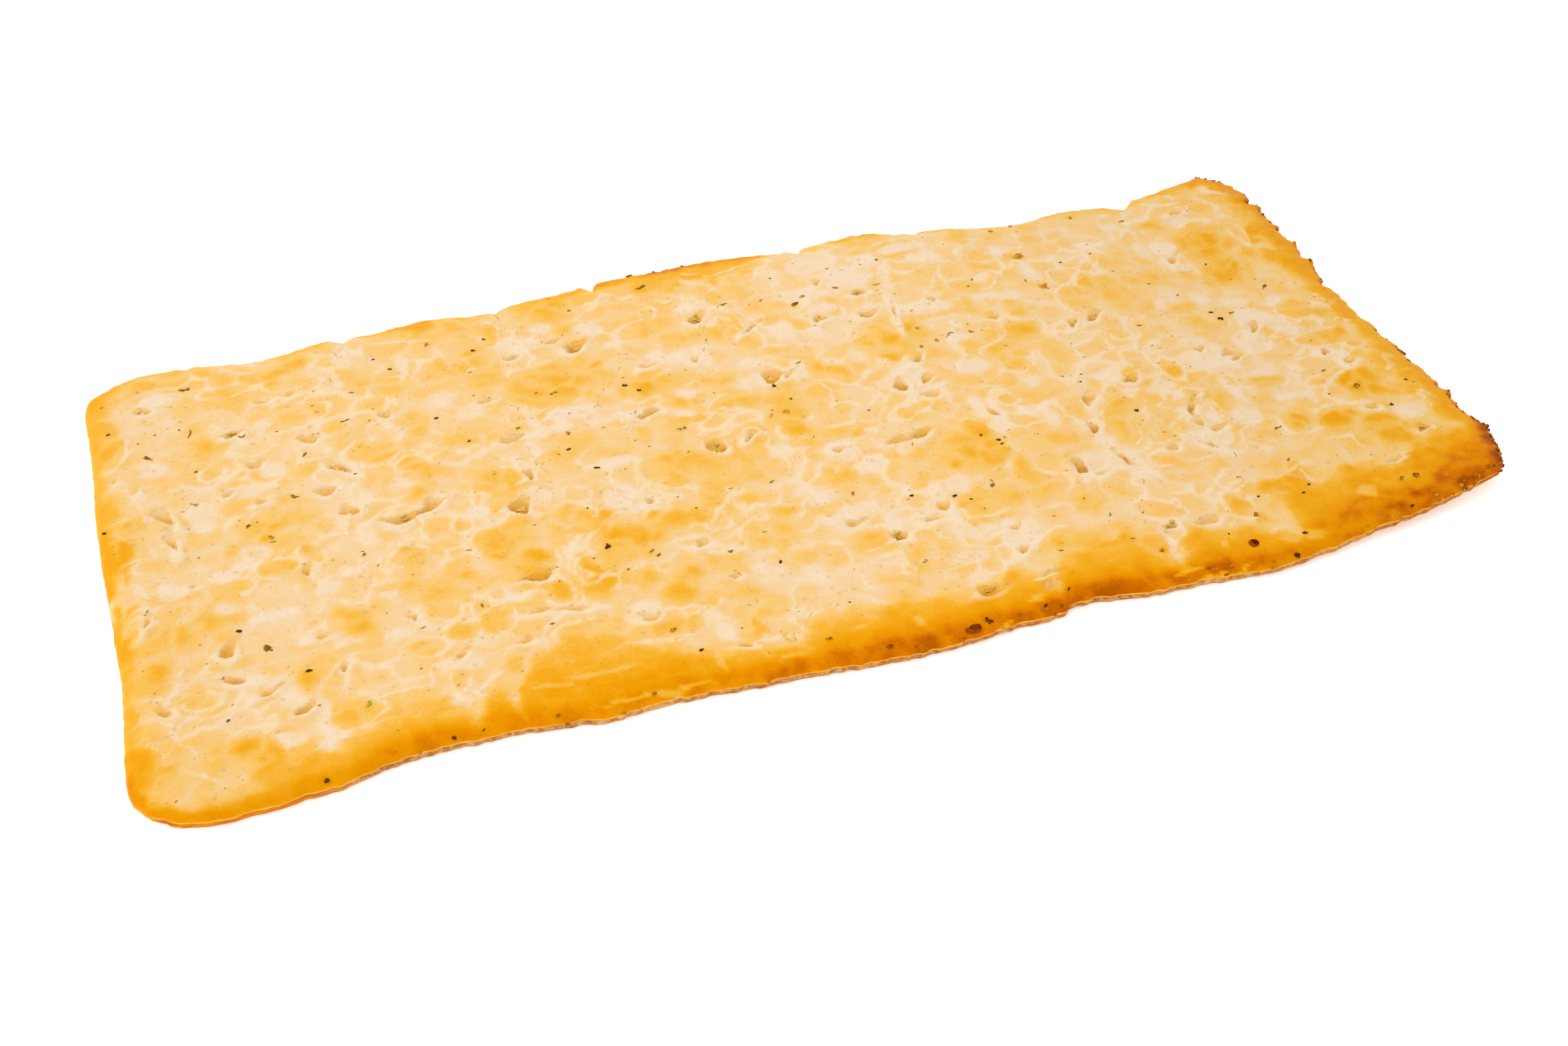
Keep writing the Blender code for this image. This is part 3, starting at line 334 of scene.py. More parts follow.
GOLDEN = on_crust((
    (-72.5, 36.8, 4.5, 1.4), (-69.5, 37.0, 2.0, 1.5), (-64.3, 37.3, 1.9, 1.4), (-57.5, 34.2, 3.2, 1.3),
    (-53.5, 36.5, 2.0, 2.2), (-51.5, 38.3, 3.0, 0.8), (-62.5, 32.0, 2.8, 1.1), (-56.3, 31.6, 1.0, 1.2),
    (-42.5, 37.5, 2.0, 1.5), (-46.3, 29.6, 1.0, 1.2), (-66.3, 21.0, 1.1, 2.6), (-47.5, 13.5, 2.4, 2.0),
    (-45.9, 13.7, 1.2, 1.3), (-41.5, 17.2, 1.3, 1.7), (-43.5, 9.5, 1.5, 1.2), (-42.3, 7.5, 0.9, 2.6),
    (-44.0, 3.7, 1.6, 1.3), (-61.0, 3.0, 2.4, 3.1), (-79.0, 16.5, 0.8, 1.8), (-77.8, 23.2, 1.6, 3.0),
    (-78.0, 30.0, 1.4, 5.0), (-57.7, -3.2, 1.3, 1.1), (-57.1, -4.2, 0.8, 0.9), (-61.8, -5.0, 1.8, 1.5),
    (-46.8, -8.3, 1.0, 1.6), (-49.5, -12.0, 2.0, 0.7), (-40.8, -3.7, 1.3, 1.1), (-44.7, -15.8, 2.4, 1.9),
    (-42.0, -13.0, 1.2, 1.0), (-70.5, -12.5, 1.8, 2.0), (-77.5, -19.5, 2.5, 2.6), (-72.0, -24.2, 1.5, 1.0),
    (-56.5, -15.5, 1.1, 1.1), (-55.0, -17.3, 1.6, 1.8), (-59.2, -21.3, 1.1, 1.1), (-61.5, -24.3, 1.3, 1.9),
    (-48.8, -23.5, 1.7, 1.1), (-44.7, -22.2, 1.3, 1.2), (-57.5, -31.0, 2.6, 2.1), (-69.2, -8.6, 0.5, 0.6),
    (-70.0, -33.5, 3.8, 2.3), (-67.3, -36.0, 1.9, 3.0), (-37.0, 36.5, 1.0, 1.0), (-38.5, 37.8, 3.7, 1.4),
    (-32.5, 38.0, 2.1, 1.4), (-29.0, 33.8, 1.1, 2.3), (-31.3, 30.8, 1.2, 0.9), (-31.0, 28.8, 1.1, 1.3),
    (-36.2, 30.2, 1.1, 1.1), (-31.0, 25.5, 2.3, 1.4), (-31.5, 23.2, 2.3, 1.0), (-20.5, 36.9, 3.2, 2.0),
    (-19.8, 32.0, 1.0, 1.1), (-23.5, 20.5, 6.3, 4.1), (-20.0, 23.0, 2.6, 1.6), (-17.5, 20.5, 1.6, 1.6),
    (-13.0, 16.8, 3.6, 3.2), (-10.5, 28.5, 2.8, 1.8), (-8.5, 29.3, 1.3, 1.3), (-8.3, 32.0, 0.8, 0.9),
    (-4.9, 35.2, 0.7, 1.3), (-4.6, 25.3, 1.1, 1.3), (-1.0, 24.0, 1.0, 1.9), (-3.8, 14.5, 1.1, 1.3),
    (-9.8, 11.3, 2.1, 1.0), (-6.2, 8.9, 0.9, 0.8), (-4.0, 8.6, 0.9, 0.9), (-0.3, 9.3, 0.8, 1.1),
    (0.5, 6.5, 0.8, 1.1), (0.2, 4.3, 1.1, 0.7), (-10.0, 7.2, 1.9, 0.8), (-12.9, 3.9, 1.1, 0.9),
    (-26.0, 5.8, 1.7, 1.7), (-34.5, 2.8, 2.3, 2.1), (-36.7, 12.4, 1.3, 1.3), (-30.2, 14.6, 0.9, 0.8),
    (-10.0, -2.0, 7.0, 3.7), (-16.5, -1.0, 2.1, 1.6), (-36.5, -8.0, 3.3, 2.6), (-31.0, -8.0, 0.7, 1.1),
    (-28.0, -6.0, 2.1, 1.9), (-28.0, -9.0, 1.9, 0.9), (-18.0, -10.8, 2.5, 1.9), (-14.0, -10.5, 1.4, 1.3),
    (-11.5, -8.0, 1.7, 1.8), (-7.5, -10.4, 1.3, 1.0), (-27.0, -16.0, 2.1, 1.6), (-33.0, -18.8, 1.3, 2.1),
    (-20.0, -23.0, 2.6, 2.1), (-17.3, -20.3, 1.6, 1.2), (-17.8, -25.3, 1.3, 1.3), (-22.8, -19.7, 0.9, 1.1),
    (-5.0, -13.2, 1.1, 1.1), (-4.5, -22.0, 1.2, 1.1), (-6.5, -20.3, 1.0, 0.8), (-33.0, -26.5, 1.7, 1.6),
    (-20.7, -29.3, 1.4, 1.3), (-24.0, -29.0, 2.8, 1.4), (-27.0, -28.7, 1.6, 1.1), (-11.8, -29.8, 1.2, 1.1),
    (-40.3, -21.5, 1.9, 1.6), (0.5, 26.2, 0.9, 1.0), (1.0, 24.2, 0.6, 1.0), (18.6, 40.3, 1.9, 0.8),
    (25.0, 40.4, 3.6, 1.2), (32.6, 21.2, 1.2, 1.0), (34.3, 17.2, 0.8, 1.5), (38.6, 18.0, 1.8, 1.9),
    (20.0, 15.8, 4.3, 3.6), (22.8, 18.5, 2.3, 2.1), (18.3, 13.2, 2.0, 1.6), (24.0, 15.5, 1.1, 1.5),
    (18.3, 19.3, 0.8, 0.7), (36.8, 13.3, 2.4, 1.9), (34.5, 11.2, 1.2, 1.2), (33.4, 10.0, 1.1, 0.9),
    (32.3, 8.7, 1.7, 1.4), (33.0, 6.0, 1.5, 1.0), (9.6, 11.8, 1.9, 1.5), (8.6, 13.0, 1.3, 1.5),
    (11.4, 10.4, 1.5, 1.6), (3.2, 9.0, 1.9, 2.2), (1.5, 7.3, 1.6, 2.2), (2.0, 4.3, 1.7, 1.9),
    (2.8, 1.4, 2.4, 1.5), (16.5, 0.3, 1.3, 1.1), (18.5, 1.2, 0.8, 1.0), (28.9, -0.6, 0.8, 1.0),
    (5.0, -8.6, 1.2, 1.2), (2.8, -10.2, 1.2, 0.9), (8.5, -1.3, 0.9, 1.0), (19.0, -8.0, 5.0, 3.8),
    (22.3, -5.0, 1.8, 1.5), (21.5, -11.5, 2.6, 1.6), (24.4, -15.5, 1.2, 2.8), (26.3, -19.0, 1.9, 2.0),
    (18.2, -19.3, 3.2, 2.1), (21.7, -19.7, 1.4, 1.2), (16.7, -21.0, 1.6, 1.1), (29.7, -23.7, 1.6, 1.1),
    (28.3, -24.5, 1.1, 0.7), (2.4, -22.0, 2.4, 1.6), (29.3, -8.5, 1.1, 1.1), (29.8, -10.7, 1.7, 1.1),
    (32.7, -11.3, 1.9, 1.0), (39.8, -9.8, 1.2, 2.6), (39.8, -12.8, 0.9, 1.1), (40.5, -6.6, 0.9, 0.7),
    (24.0, -29.7, 3.2, 2.6), (29.5, -27.7, 1.6, 0.8), (28.3, -30.3, 2.5, 1.5), (32.8, -31.5, 1.0, 2.0),
    (43.0, 37.8, 1.2, 0.8), (67.0, 38.3, 1.7, 0.7), (71.5, 38.3, 1.8, 1.2), (63.5, 31.1, 2.3, 1.2),
    (50.3, 21.0, 1.4, 1.6), (51.3, 17.5, 1.5, 3.0), (53.0, 17.8, 1.0, 1.4), (52.4, 14.3, 1.6, 1.6),
    (59.0, 19.0, 1.6, 1.5), (62.4, 17.4, 0.9, 1.7), (69.2, 24.8, 3.8, 4.4), (68.5, 17.0, 3.4, 3.8),
    (66.8, 28.0, 1.2, 0.9), (66.3, 21.5, 1.3, 2.6), (73.2, 19.7, 2.0, 1.7), (73.0, 22.3, 1.3, 1.2),
    (72.5, 5.4, 1.9, 1.6), (73.6, 7.0, 0.9, 0.9), (58.9, 7.4, 1.1, 1.5), (61.6, 6.2, 1.0, 0.6),
    (51.4, -1.3, 1.0, 2.0), (45.2, -1.3, 0.9, 1.3), (75.4, 3.8, 1.0, 1.5), (73.0, -1.2, 3.4, 1.5),
    (75.8, -3.2, 0.9, 1.2), (53.7, -9.7, 1.3, 2.3), (61.0, -8.1, 1.9, 0.9), (67.0, -10.0, 1.0, 0.8),
    (60.8, -16.8, 1.7, 2.5), (65.5, -17.7, 2.7, 2.5), (63.5, -20.8, 1.5, 0.9), (69.3, -13.3, 1.2, 1.7),
    (72.2, -12.6, 3.0, 3.2), (76.0, -8.0, 1.8, 2.6), (76.0, -15.0, 2.1, 1.2), (67.0, -22.0, 1.4, 3.1),
    (70.2, -21.5, 3.0, 3.3), (74.0, -22.8, 1.1, 1.3), (45.2, -29.3, 1.3, 2.0), (57.5, -26.6, 1.2, 1.2),
    (78.0, -24.0, 1.8, 4.0), (78.2, 9.0, 1.6, 2.2), (77.5, 31.0, 1.4, 4.0),
    (-34.0, 36.6, 3.2, 1.8), (-10.5, 40.0, 4.0, 1.6), (4.5, 40.6, 5.0, 1.4), (-41.5, 18.6, 1.4, 2.2),
    (-66.0, 15.2, 1.4, 1.2), (-24.0, 16.8, 2.8, 1.8), (-2.8, 9.2, 2.4, 1.6), (-34.8, -1.0, 1.6, 1.7),
    (-47.2, -8.0, 1.9, 1.5), (-7.0, -5.6, 2.8, 1.7), (-35.6, -13.6, 3.4, 2.4), (-23.0, -12.6, 4.0, 3.2),
    (-6.8, -17.6, 1.9, 1.6), (-14.4, -21.0, 2.0, 2.4), (-12.6, -26.6, 1.8, 1.3), (-31.0, -26.8, 3.4, 2.4),
    (-45.4, -18.4, 1.5, 1.4), (22.2, -31.4, 2.6, 1.6), (50.4, -27.6, 3.4, 1.6), (70.0, -24.6, 3.2, 2.2),
    (69.0, -12.8, 2.0, 1.6), (-3.2, 1.4, 1.2, 1.3), (-20.6, 3.6, 2.2, 1.0),
    (-77.4, -11.2, 1.6, 2.0), (-78.6, -33.0, 1.6, 3.0), (-79.2, 0.2, 0.8, 2.0), (-62.4, -38.6, 3.0, 1.2),
    (-15.5, 38.6, 1.9, 1.8), (-10.0, 38.4, 1.7, 1.3), (-62.5, 35.0, 1.5, 1.6), (43.2, 29.2, 1.2, 0.9),
    (1.8, -31.4, 1.4, 1.1), (34.6, 8.4, 1.1, 1.5), (-57.6, -21.8, 1.1, 0.9), (53.4, -30.8, 2.6, 2.2),
    (62.6, -28.0, 3.0, 1.5), (47.2, -36.6, 1.2, 1.5),
))
DEEP = on_crust((
    (-53.0, 37.7, 1.0, 0.7), (-61.8, 31.5, 1.0, 0.6), (-78.2, 33.5, 1.7, 3.2), (-78.5, 27.5, 1.0, 1.4),
    (-78.4, 23.2, 1.0, 2.8), (-78.9, 11.8, 1.4, 3.0), (-78.2, 8.3, 1.3, 1.0), (-44.0, 3.7, 0.9, 0.7),
    (-61.2, 3.0, 1.3, 1.8), (-66.2, -0.5, 0.8, 1.2), (-61.8, -5.0, 1.1, 0.9), (-47.4, -6.5, 1.0, 1.1),
    (-44.7, -15.4, 1.7, 1.1), (-73.5, -12.6, 3.0, 1.7), (-76.3, -18.8, 1.3, 1.4), (-78.0, -13.7, 1.0, 0.8),
    (-55.0, -17.0, 1.1, 1.4), (-61.5, -24.3, 0.9, 1.5), (-40.8, -21.5, 1.6, 1.5), (-57.5, -31.0, 1.8, 1.4),
    (-40.8, -29.0, 1.1, 0.9), (-69.0, -33.4, 2.8, 1.6), (-67.3, -35.8, 1.4, 2.6), (-42.0, -13.0, 0.8, 0.6),
    (-37.5, 38.6, 3.0, 1.0), (-21.0, 38.5, 3.0, 1.4), (-23.5, 19.6, 4.0, 2.3), (-16.9, 22.6, 0.7, 0.8),
    (-12.2, 15.5, 1.9, 1.7), (-9.9, 37.9, 0.9, 0.7), (-7.5, 38.0, 1.4, 1.2), (-33.0, 0.2, 1.3, 1.2),
    (-12.3, -0.4, 3.4, 2.1), (-10.5, -2.5, 1.6, 1.3), (-5.3, -2.3, 1.1, 1.1), (-6.0, -4.5, 0.8, 1.0),
    (-35.3, -7.3, 1.6, 1.6), (-38.6, -8.7, 1.2, 1.1), (-38.0, -10.5, 1.2, 0.8), (-25.3, -7.8, 1.6, 1.0),
    (-23.3, -12.0, 3.0, 2.0), (-18.0, -10.6, 1.6, 1.0), (-13.7, -11.2, 1.1, 0.8), (-28.0, -18.5, 2.7, 2.3),
    (-33.0, -18.8, 0.9, 1.6), (-20.2, -22.8, 2.2, 1.6), (-17.3, -20.3, 1.2, 0.8), (-20.7, -29.3, 1.0, 1.1),
    (-16.2, -34.5, 1.3, 0.7), (-21.5, -15.3, 0.8, 1.2), (20.5, 15.6, 1.9, 1.7), (22.2, 17.3, 1.0, 1.6),
    (23.9, 17.3, 0.5, 0.5), (36.9, 12.8, 0.9, 0.8), (8.5, 12.9, 0.7, 0.8), (2.3, 1.2, 0.8, 0.6),
    (20.2, -7.8, 2.0, 2.2), (22.5, -6.0, 1.6, 1.3), (20.3, -10.3, 1.3, 2.3), (22.3, -8.7, 0.9, 1.2),
    (23.5, -11.0, 0.8, 0.5), (17.5, -19.3, 0.9, 0.6), (21.5, -19.8, 0.6, 0.5), (24.4, -14.5, 0.5, 0.8),
    (22.9, -29.0, 1.3, 1.8), (27.5, -31.0, 1.3, 1.2), (50.0, 20.9, 1.0, 1.3), (51.1, 15.8, 0.8, 1.3),
    (58.7, 19.3, 0.6, 0.4), (59.9, 18.6, 0.4, 0.4), (64.0, 31.3, 1.2, 0.6), (69.2, 25.0, 2.9, 3.6),
    (68.2, 17.0, 2.7, 3.0), (66.0, 15.0, 1.2, 1.0), (76.0, 19.0, 1.6, 2.0), (72.5, -1.0, 1.2, 0.8),
    (75.7, -0.6, 0.6, 1.0), (72.2, -12.5, 2.4, 2.7), (72.7, -10.0, 1.7, 0.9), (65.4, -17.8, 2.0, 2.0),
    (60.7, -16.8, 1.2, 1.9), (69.7, -21.8, 2.8, 3.0), (55.2, -25.0, 0.9, 0.9), (45.2, -28.7, 0.9, 1.1),
    (74.0, -22.9, 0.7, 0.9), (46.4, -32.0, 0.5, 0.5), (78.6, -10.0, 1.5, 6.0),
    (-77.8, -8.0, 1.1, 1.6), (-35.4, -16.4, 2.0, 1.5), (17.5, 12.4, 1.4, 1.0), (-5.0, 7.8, 1.1, 0.8),
    (-26.6, -10.2, 1.5, 0.8), (-19.6, -9.0, 1.1, 0.9), (50.4, -28.6, 1.3, 1.3), (55.0, -26.4, 1.4, 1.2),
    (65.3, -27.0, 1.1, 0.7), (62.4, -27.8, 2.8, 1.4), (-77.0, -33.4, 1.4, 1.2), (43.0, 28.8, 1.6, 1.1),
))
TOASTED = on_crust((
    (-79.3, 3.4, 1.6, 3.6), (-79.6, -12.8, 0.6, 2.4), (-79.5, -16.5, 0.6, 1.0), (-79.6, -7.3, 0.5, 1.3),
    (-61.5, 0.6, 0.6, 0.6), (-34.6, -12.5, 2.0, 1.3), (-35.0, -14.0, 1.0, 1.2), (-34.6, -15.9, 1.4, 0.8),
    (-24.8, -11.3, 1.5, 1.3), (-21.8, -13.2, 1.7, 1.3), (-22.8, -29.4, 0.5, 0.5), (-14.2, -32.0, 0.7, 1.2),
    (-38.0, 39.0, 2.5, 0.7), (20.4, 15.4, 0.8, 0.8), (20.7, -7.0, 1.0, 0.6), (22.2, -6.5, 0.7, 0.6),
    (17.0, -11.4, 0.6, 0.6), (23.0, -29.2, 0.9, 1.1), (27.6, -31.0, 0.9, 1.0), (30.5, -29.8, 1.2, 1.3),
    (69.0, 25.4, 1.6, 2.2), (68.4, 23.0, 1.1, 1.1), (70.6, 18.2, 0.7, 1.5), (67.0, 17.0, 0.6, 1.9),
    (72.0, -12.5, 1.8, 1.9), (65.3, -17.8, 0.5, 0.5), (70.2, -21.8, 1.9, 2.4), (69.0, -19.7, 0.6, 0.6),
    (71.5, -24.4, 1.1, 0.8), (77.5, 25.5, 1.0, 1.6), (79.3, 25.0, 1.0, 1.8), (78.6, 21.0, 1.2, 3.2),
    (78.0, 15.5, 1.4, 3.6), (78.4, 5.5, 0.9, 2.6), (79.0, 1.0, 0.6, 2.5), (79.4, 34.5, 1.4, 2.5),
    (78.0, 37.6, 1.4, 1.6), (76.6, 39.2, 1.6, 1.2), (79.6, 30.5, 0.9, 1.6), (79.0, -8.0, 0.9, 3.5),
    (79.3, -13.0, 0.7, 4.5), (79.8, -24.0, 0.9, 3.4), (33.4, -34.2, 0.6, 0.9), (-69.0, -33.4, 1.4, 1.1),
    (53.3, -27.5, 1.7, 1.6), (50.2, -27.6, 0.9, 1.1), (61.3, -27.8, 1.3, 1.2), (64.3, -28.2, 1.8, 1.0),
    (71.6, -11.8, 2.4, 2.2), (65.3, -17.6, 1.9, 1.6), (60.8, -16.6, 0.9, 1.4), (70.0, -21.6, 2.2, 2.7),
    (76.5, 23.0, 1.2, 1.1), (77.4, -9.0, 1.2, 2.2), (77.8, -16.0, 1.1, 1.2), (-78.3, 1.6, 1.6, 4.0),
    (76.6, 37.8, 1.4, 1.3), (53.2, -28.0, 1.9, 1.6), (64.4, -28.0, 1.5, 0.9),
    (77.0, 37.4, 2.0, 2.0), (79.6, 34.8, 1.3, 2.4),
))
# How brown the islands of each table are, laid over one another in this order
BROWNING = ((0.46, WARM), (0.04, PALE), (0.60, GOLDEN), (0.76, DEEP), (0.92, TOASTED))
# The front of the sheet, nearest the heat, is orange to brown from this line on
FRONT_BAND = on_crust((
    (-82.0, -36.0), (-78.5, -38.0), (-75.0, -39.2), (-70.0, -39.0), (-66.0, -35.6), (-63.0, -33.8),
    (-60.8, -36.8), (-59.3, -36.6), (-58.0, -34.0), (-55.0, -33.8), (-51.0, -32.7), (-48.5, -32.8),
    (-46.6, -33.8), (-45.2, -36.2), (-43.6, -32.8), (-42.4, -32.8), (-41.0, -36.2), (-39.8, -31.2),
    (-37.0, -28.2), (-34.0, -27.5), (-31.0, -27.6), (-27.0, -30.2), (-22.5, -33.6), (-17.0, -35.4),
    (-13.0, -36.6), (-10.0, -36.2),
    (-8.0, -34.0), (-5.0, -33.2), (-1.0, -34.0), (2.5, -33.1), (5.0, -32.6), (7.0, -32.8),
    (9.8, -34.2), (14.0, -33.6), (16.0, -32.9), (18.0, -33.8), (19.6, -35.4), (21.6, -31.8),
    (27.0, -31.8), (29.5, -31.2), (30.6, -30.8), (31.6, -33.4), (34.2, -36.8), (35.8, -34.0),
    (38.5, -32.8), (41.0, -32.8), (43.5, -33.0), (45.5, -34.4), (48.0, -36.4), (49.8, -36.0),
    (51.2, -32.4), (52.5, -27.8), (54.6, -27.2), (56.6, -28.4), (58.4, -28.0), (60.5, -28.4),
    (62.6, -28.6), (64.6, -28.8), (66.5, -29.0), (68.5, -28.2), (71.0, -26.0), (74.0, -25.7),
    (76.2, -24.8), (79.0, -25.5), (82.0, -20.0),
))
# How brown that band is, and how much browner its lip: (x, level)
FRONT_HEAT = np.array((
    (-80.0, 0.84), (-66.0, 0.80), (-60.0, 0.90), (-54.0, 1.02), (-35.0, 0.98), (-24.0, 1.07),
    (-8.0, 1.05), (3.0, 1.05), (10.0, 1.05), (34.0, 1.08), (44.0, 1.03), (54.0, 1.05),
    (62.0, 1.17), (80.0, 1.25),
))
LIP_SCORCH = np.array((
    (-80.0, 0.28), (-62.0, 0.16), (-20.0, 0.08), (-10.0, 0.18), (4.0, 0.26), (30.0, 0.24),
    (42.0, 0.20), (50.0, 0.12), (60.0, 0.08), (72.0, 0.10), (78.0, 0.22),
))
# Pale streaks and pockets left inside that band
STREAKS = on_crust((
    (-31.5, -33.4, 4.2, 0.4), (-37.2, -34.2, 1.8, 0.35), (-28.0, -38.1, 6.5, 0.28),
    (-12.0, -38.2, 2.2, 0.25), (-19.5, -35.8, 0.5, 1.2), (38.5, -40.1, 3.0, 0.2), (12.0, -40.0, 0.8, 0.2),
    (-69.6, -38.8, 2.0, 0.9), (34.6, -38.0, 1.8, 0.35), (50.8, -37.3, 1.0, 0.7), (61.2, -32.2, 1.6, 1.1),
    (40.5, -35.5, 0.5, 0.9), (3.0, -36.0, 0.5, 0.8), (47.8, -36.8, 1.2, 0.5), (-4.2, -35.4, 0.8, 0.4),
    (16.5, -36.6, 1.0, 0.4),
))
# Stretches of the edge that browned more: (x, y, reach along the edge, width inward,
# level)
RIM_BROWNING = (
    (-1.0, 42.6, 7.0, 3.0, 1.65), (-1.0, 42.6, 11.0, 3.5, 1.35), (0.0, 42.6, 12.0, 7.5, 0.95),
    (-11.5, 42.2, 4.5, 3.8, 1.35), (-17.5, 41.6, 5.0, 4.4, 1.05), (-22.5, 40.9, 4.0, 3.2, 0.95),
    (8.0, 42.4, 4.0, 3.6, 1.40), (25.3, 42.9, 3.5, 2.8, 1.20), (23.5, 42.7, 4.5, 3.6, 0.95),
    (-38.0, 40.6, 5.0, 3.2, 1.20), (-43.0, 39.8, 3.0, 2.4, 0.95), (-52.5, 39.3, 5.0, 3.0, 0.85),
    (-71.0, 39.4, 7.0, 3.2, 0.85), (-78.3, 35.6, 5.0, 3.4, 1.05), (-79.7, 28.0, 7.0, 3.2, 0.90),
    (46.2, 38.4, 1.6, 1.2, 1.50), (55.0, 39.1, 6.0, 2.6, 0.78), (70.5, 40.3, 5.5, 4.4, 0.92),
    (36.0, 40.5, 11.0, 2.4, 0.74), (62.0, 38.8, 6.0, 3.6, 0.72), (-29.0, 40.0, 6.0, 2.0, 0.80),
    (77.3, 41.4, 5.5, 6.0, 1.32), (80.0, 36.5, 4.0, 6.0, 1.30), (77.6, 41.4, 3.0, 1.2, 1.60),
    (80.6, 38.0, 5.0, 5.6, 1.36),
    (81.2, 31.0, 7.0, 4.2, 1.25), (81.0, 22.0, 8.0, 5.4, 1.18), (80.5, 14.0, 6.0, 5.4, 1.14),
    (80.4, 5.0, 8.0, 5.6, 1.10), (80.5, -4.0, 8.0, 4.6, 1.02), (80.6, -14.0, 7.0, 5.0, 1.14),
    (80.5, -22.0, 6.0, 5.2, 1.14), (80.1, -28.5, 4.5, 6.0, 1.42), (77.5, -33.6, 5.0, 6.0, 1.45),
    (81.2, 32.0, 14.0, 1.1, 1.60), (80.8, 16.0, 10.0, 0.9, 1.55), (80.5, -6.0, 12.0, 0.8, 1.40),
    (80.4, -22.0, 10.0, 1.2, 1.70), (-79.8, 20.0, 10.0, 2.2, 0.85), (-80.2, 11.5, 4.0, 2.6, 0.95),
    (-80.2, 3.5, 6.0, 3.2, 1.12), (-80.2, -2.0, 3.0, 1.8, 1.12), (-80.2, -12.5, 5.0, 2.0, 1.05),
    (-80.2, -19.0, 4.0, 2.4, 0.85), (-80.5, -26.0, 5.0, 2.8, 0.90), (-81.0, -32.6, 4.6, 6.0, 1.15),
    (-80.9, -35.0, 3.6, 1.8, 1.40), (-79.3, -38.8, 5.0, 1.4, 1.30), (-75.0, -41.0, 6.0, 1.0, 1.30),
    (-69.0, -41.2, 6.0, 1.0, 1.20), (-68.0, -41.2, 9.0, 4.2, 0.72), (-62.5, -40.7, 4.0, 3.4, 1.0),
)
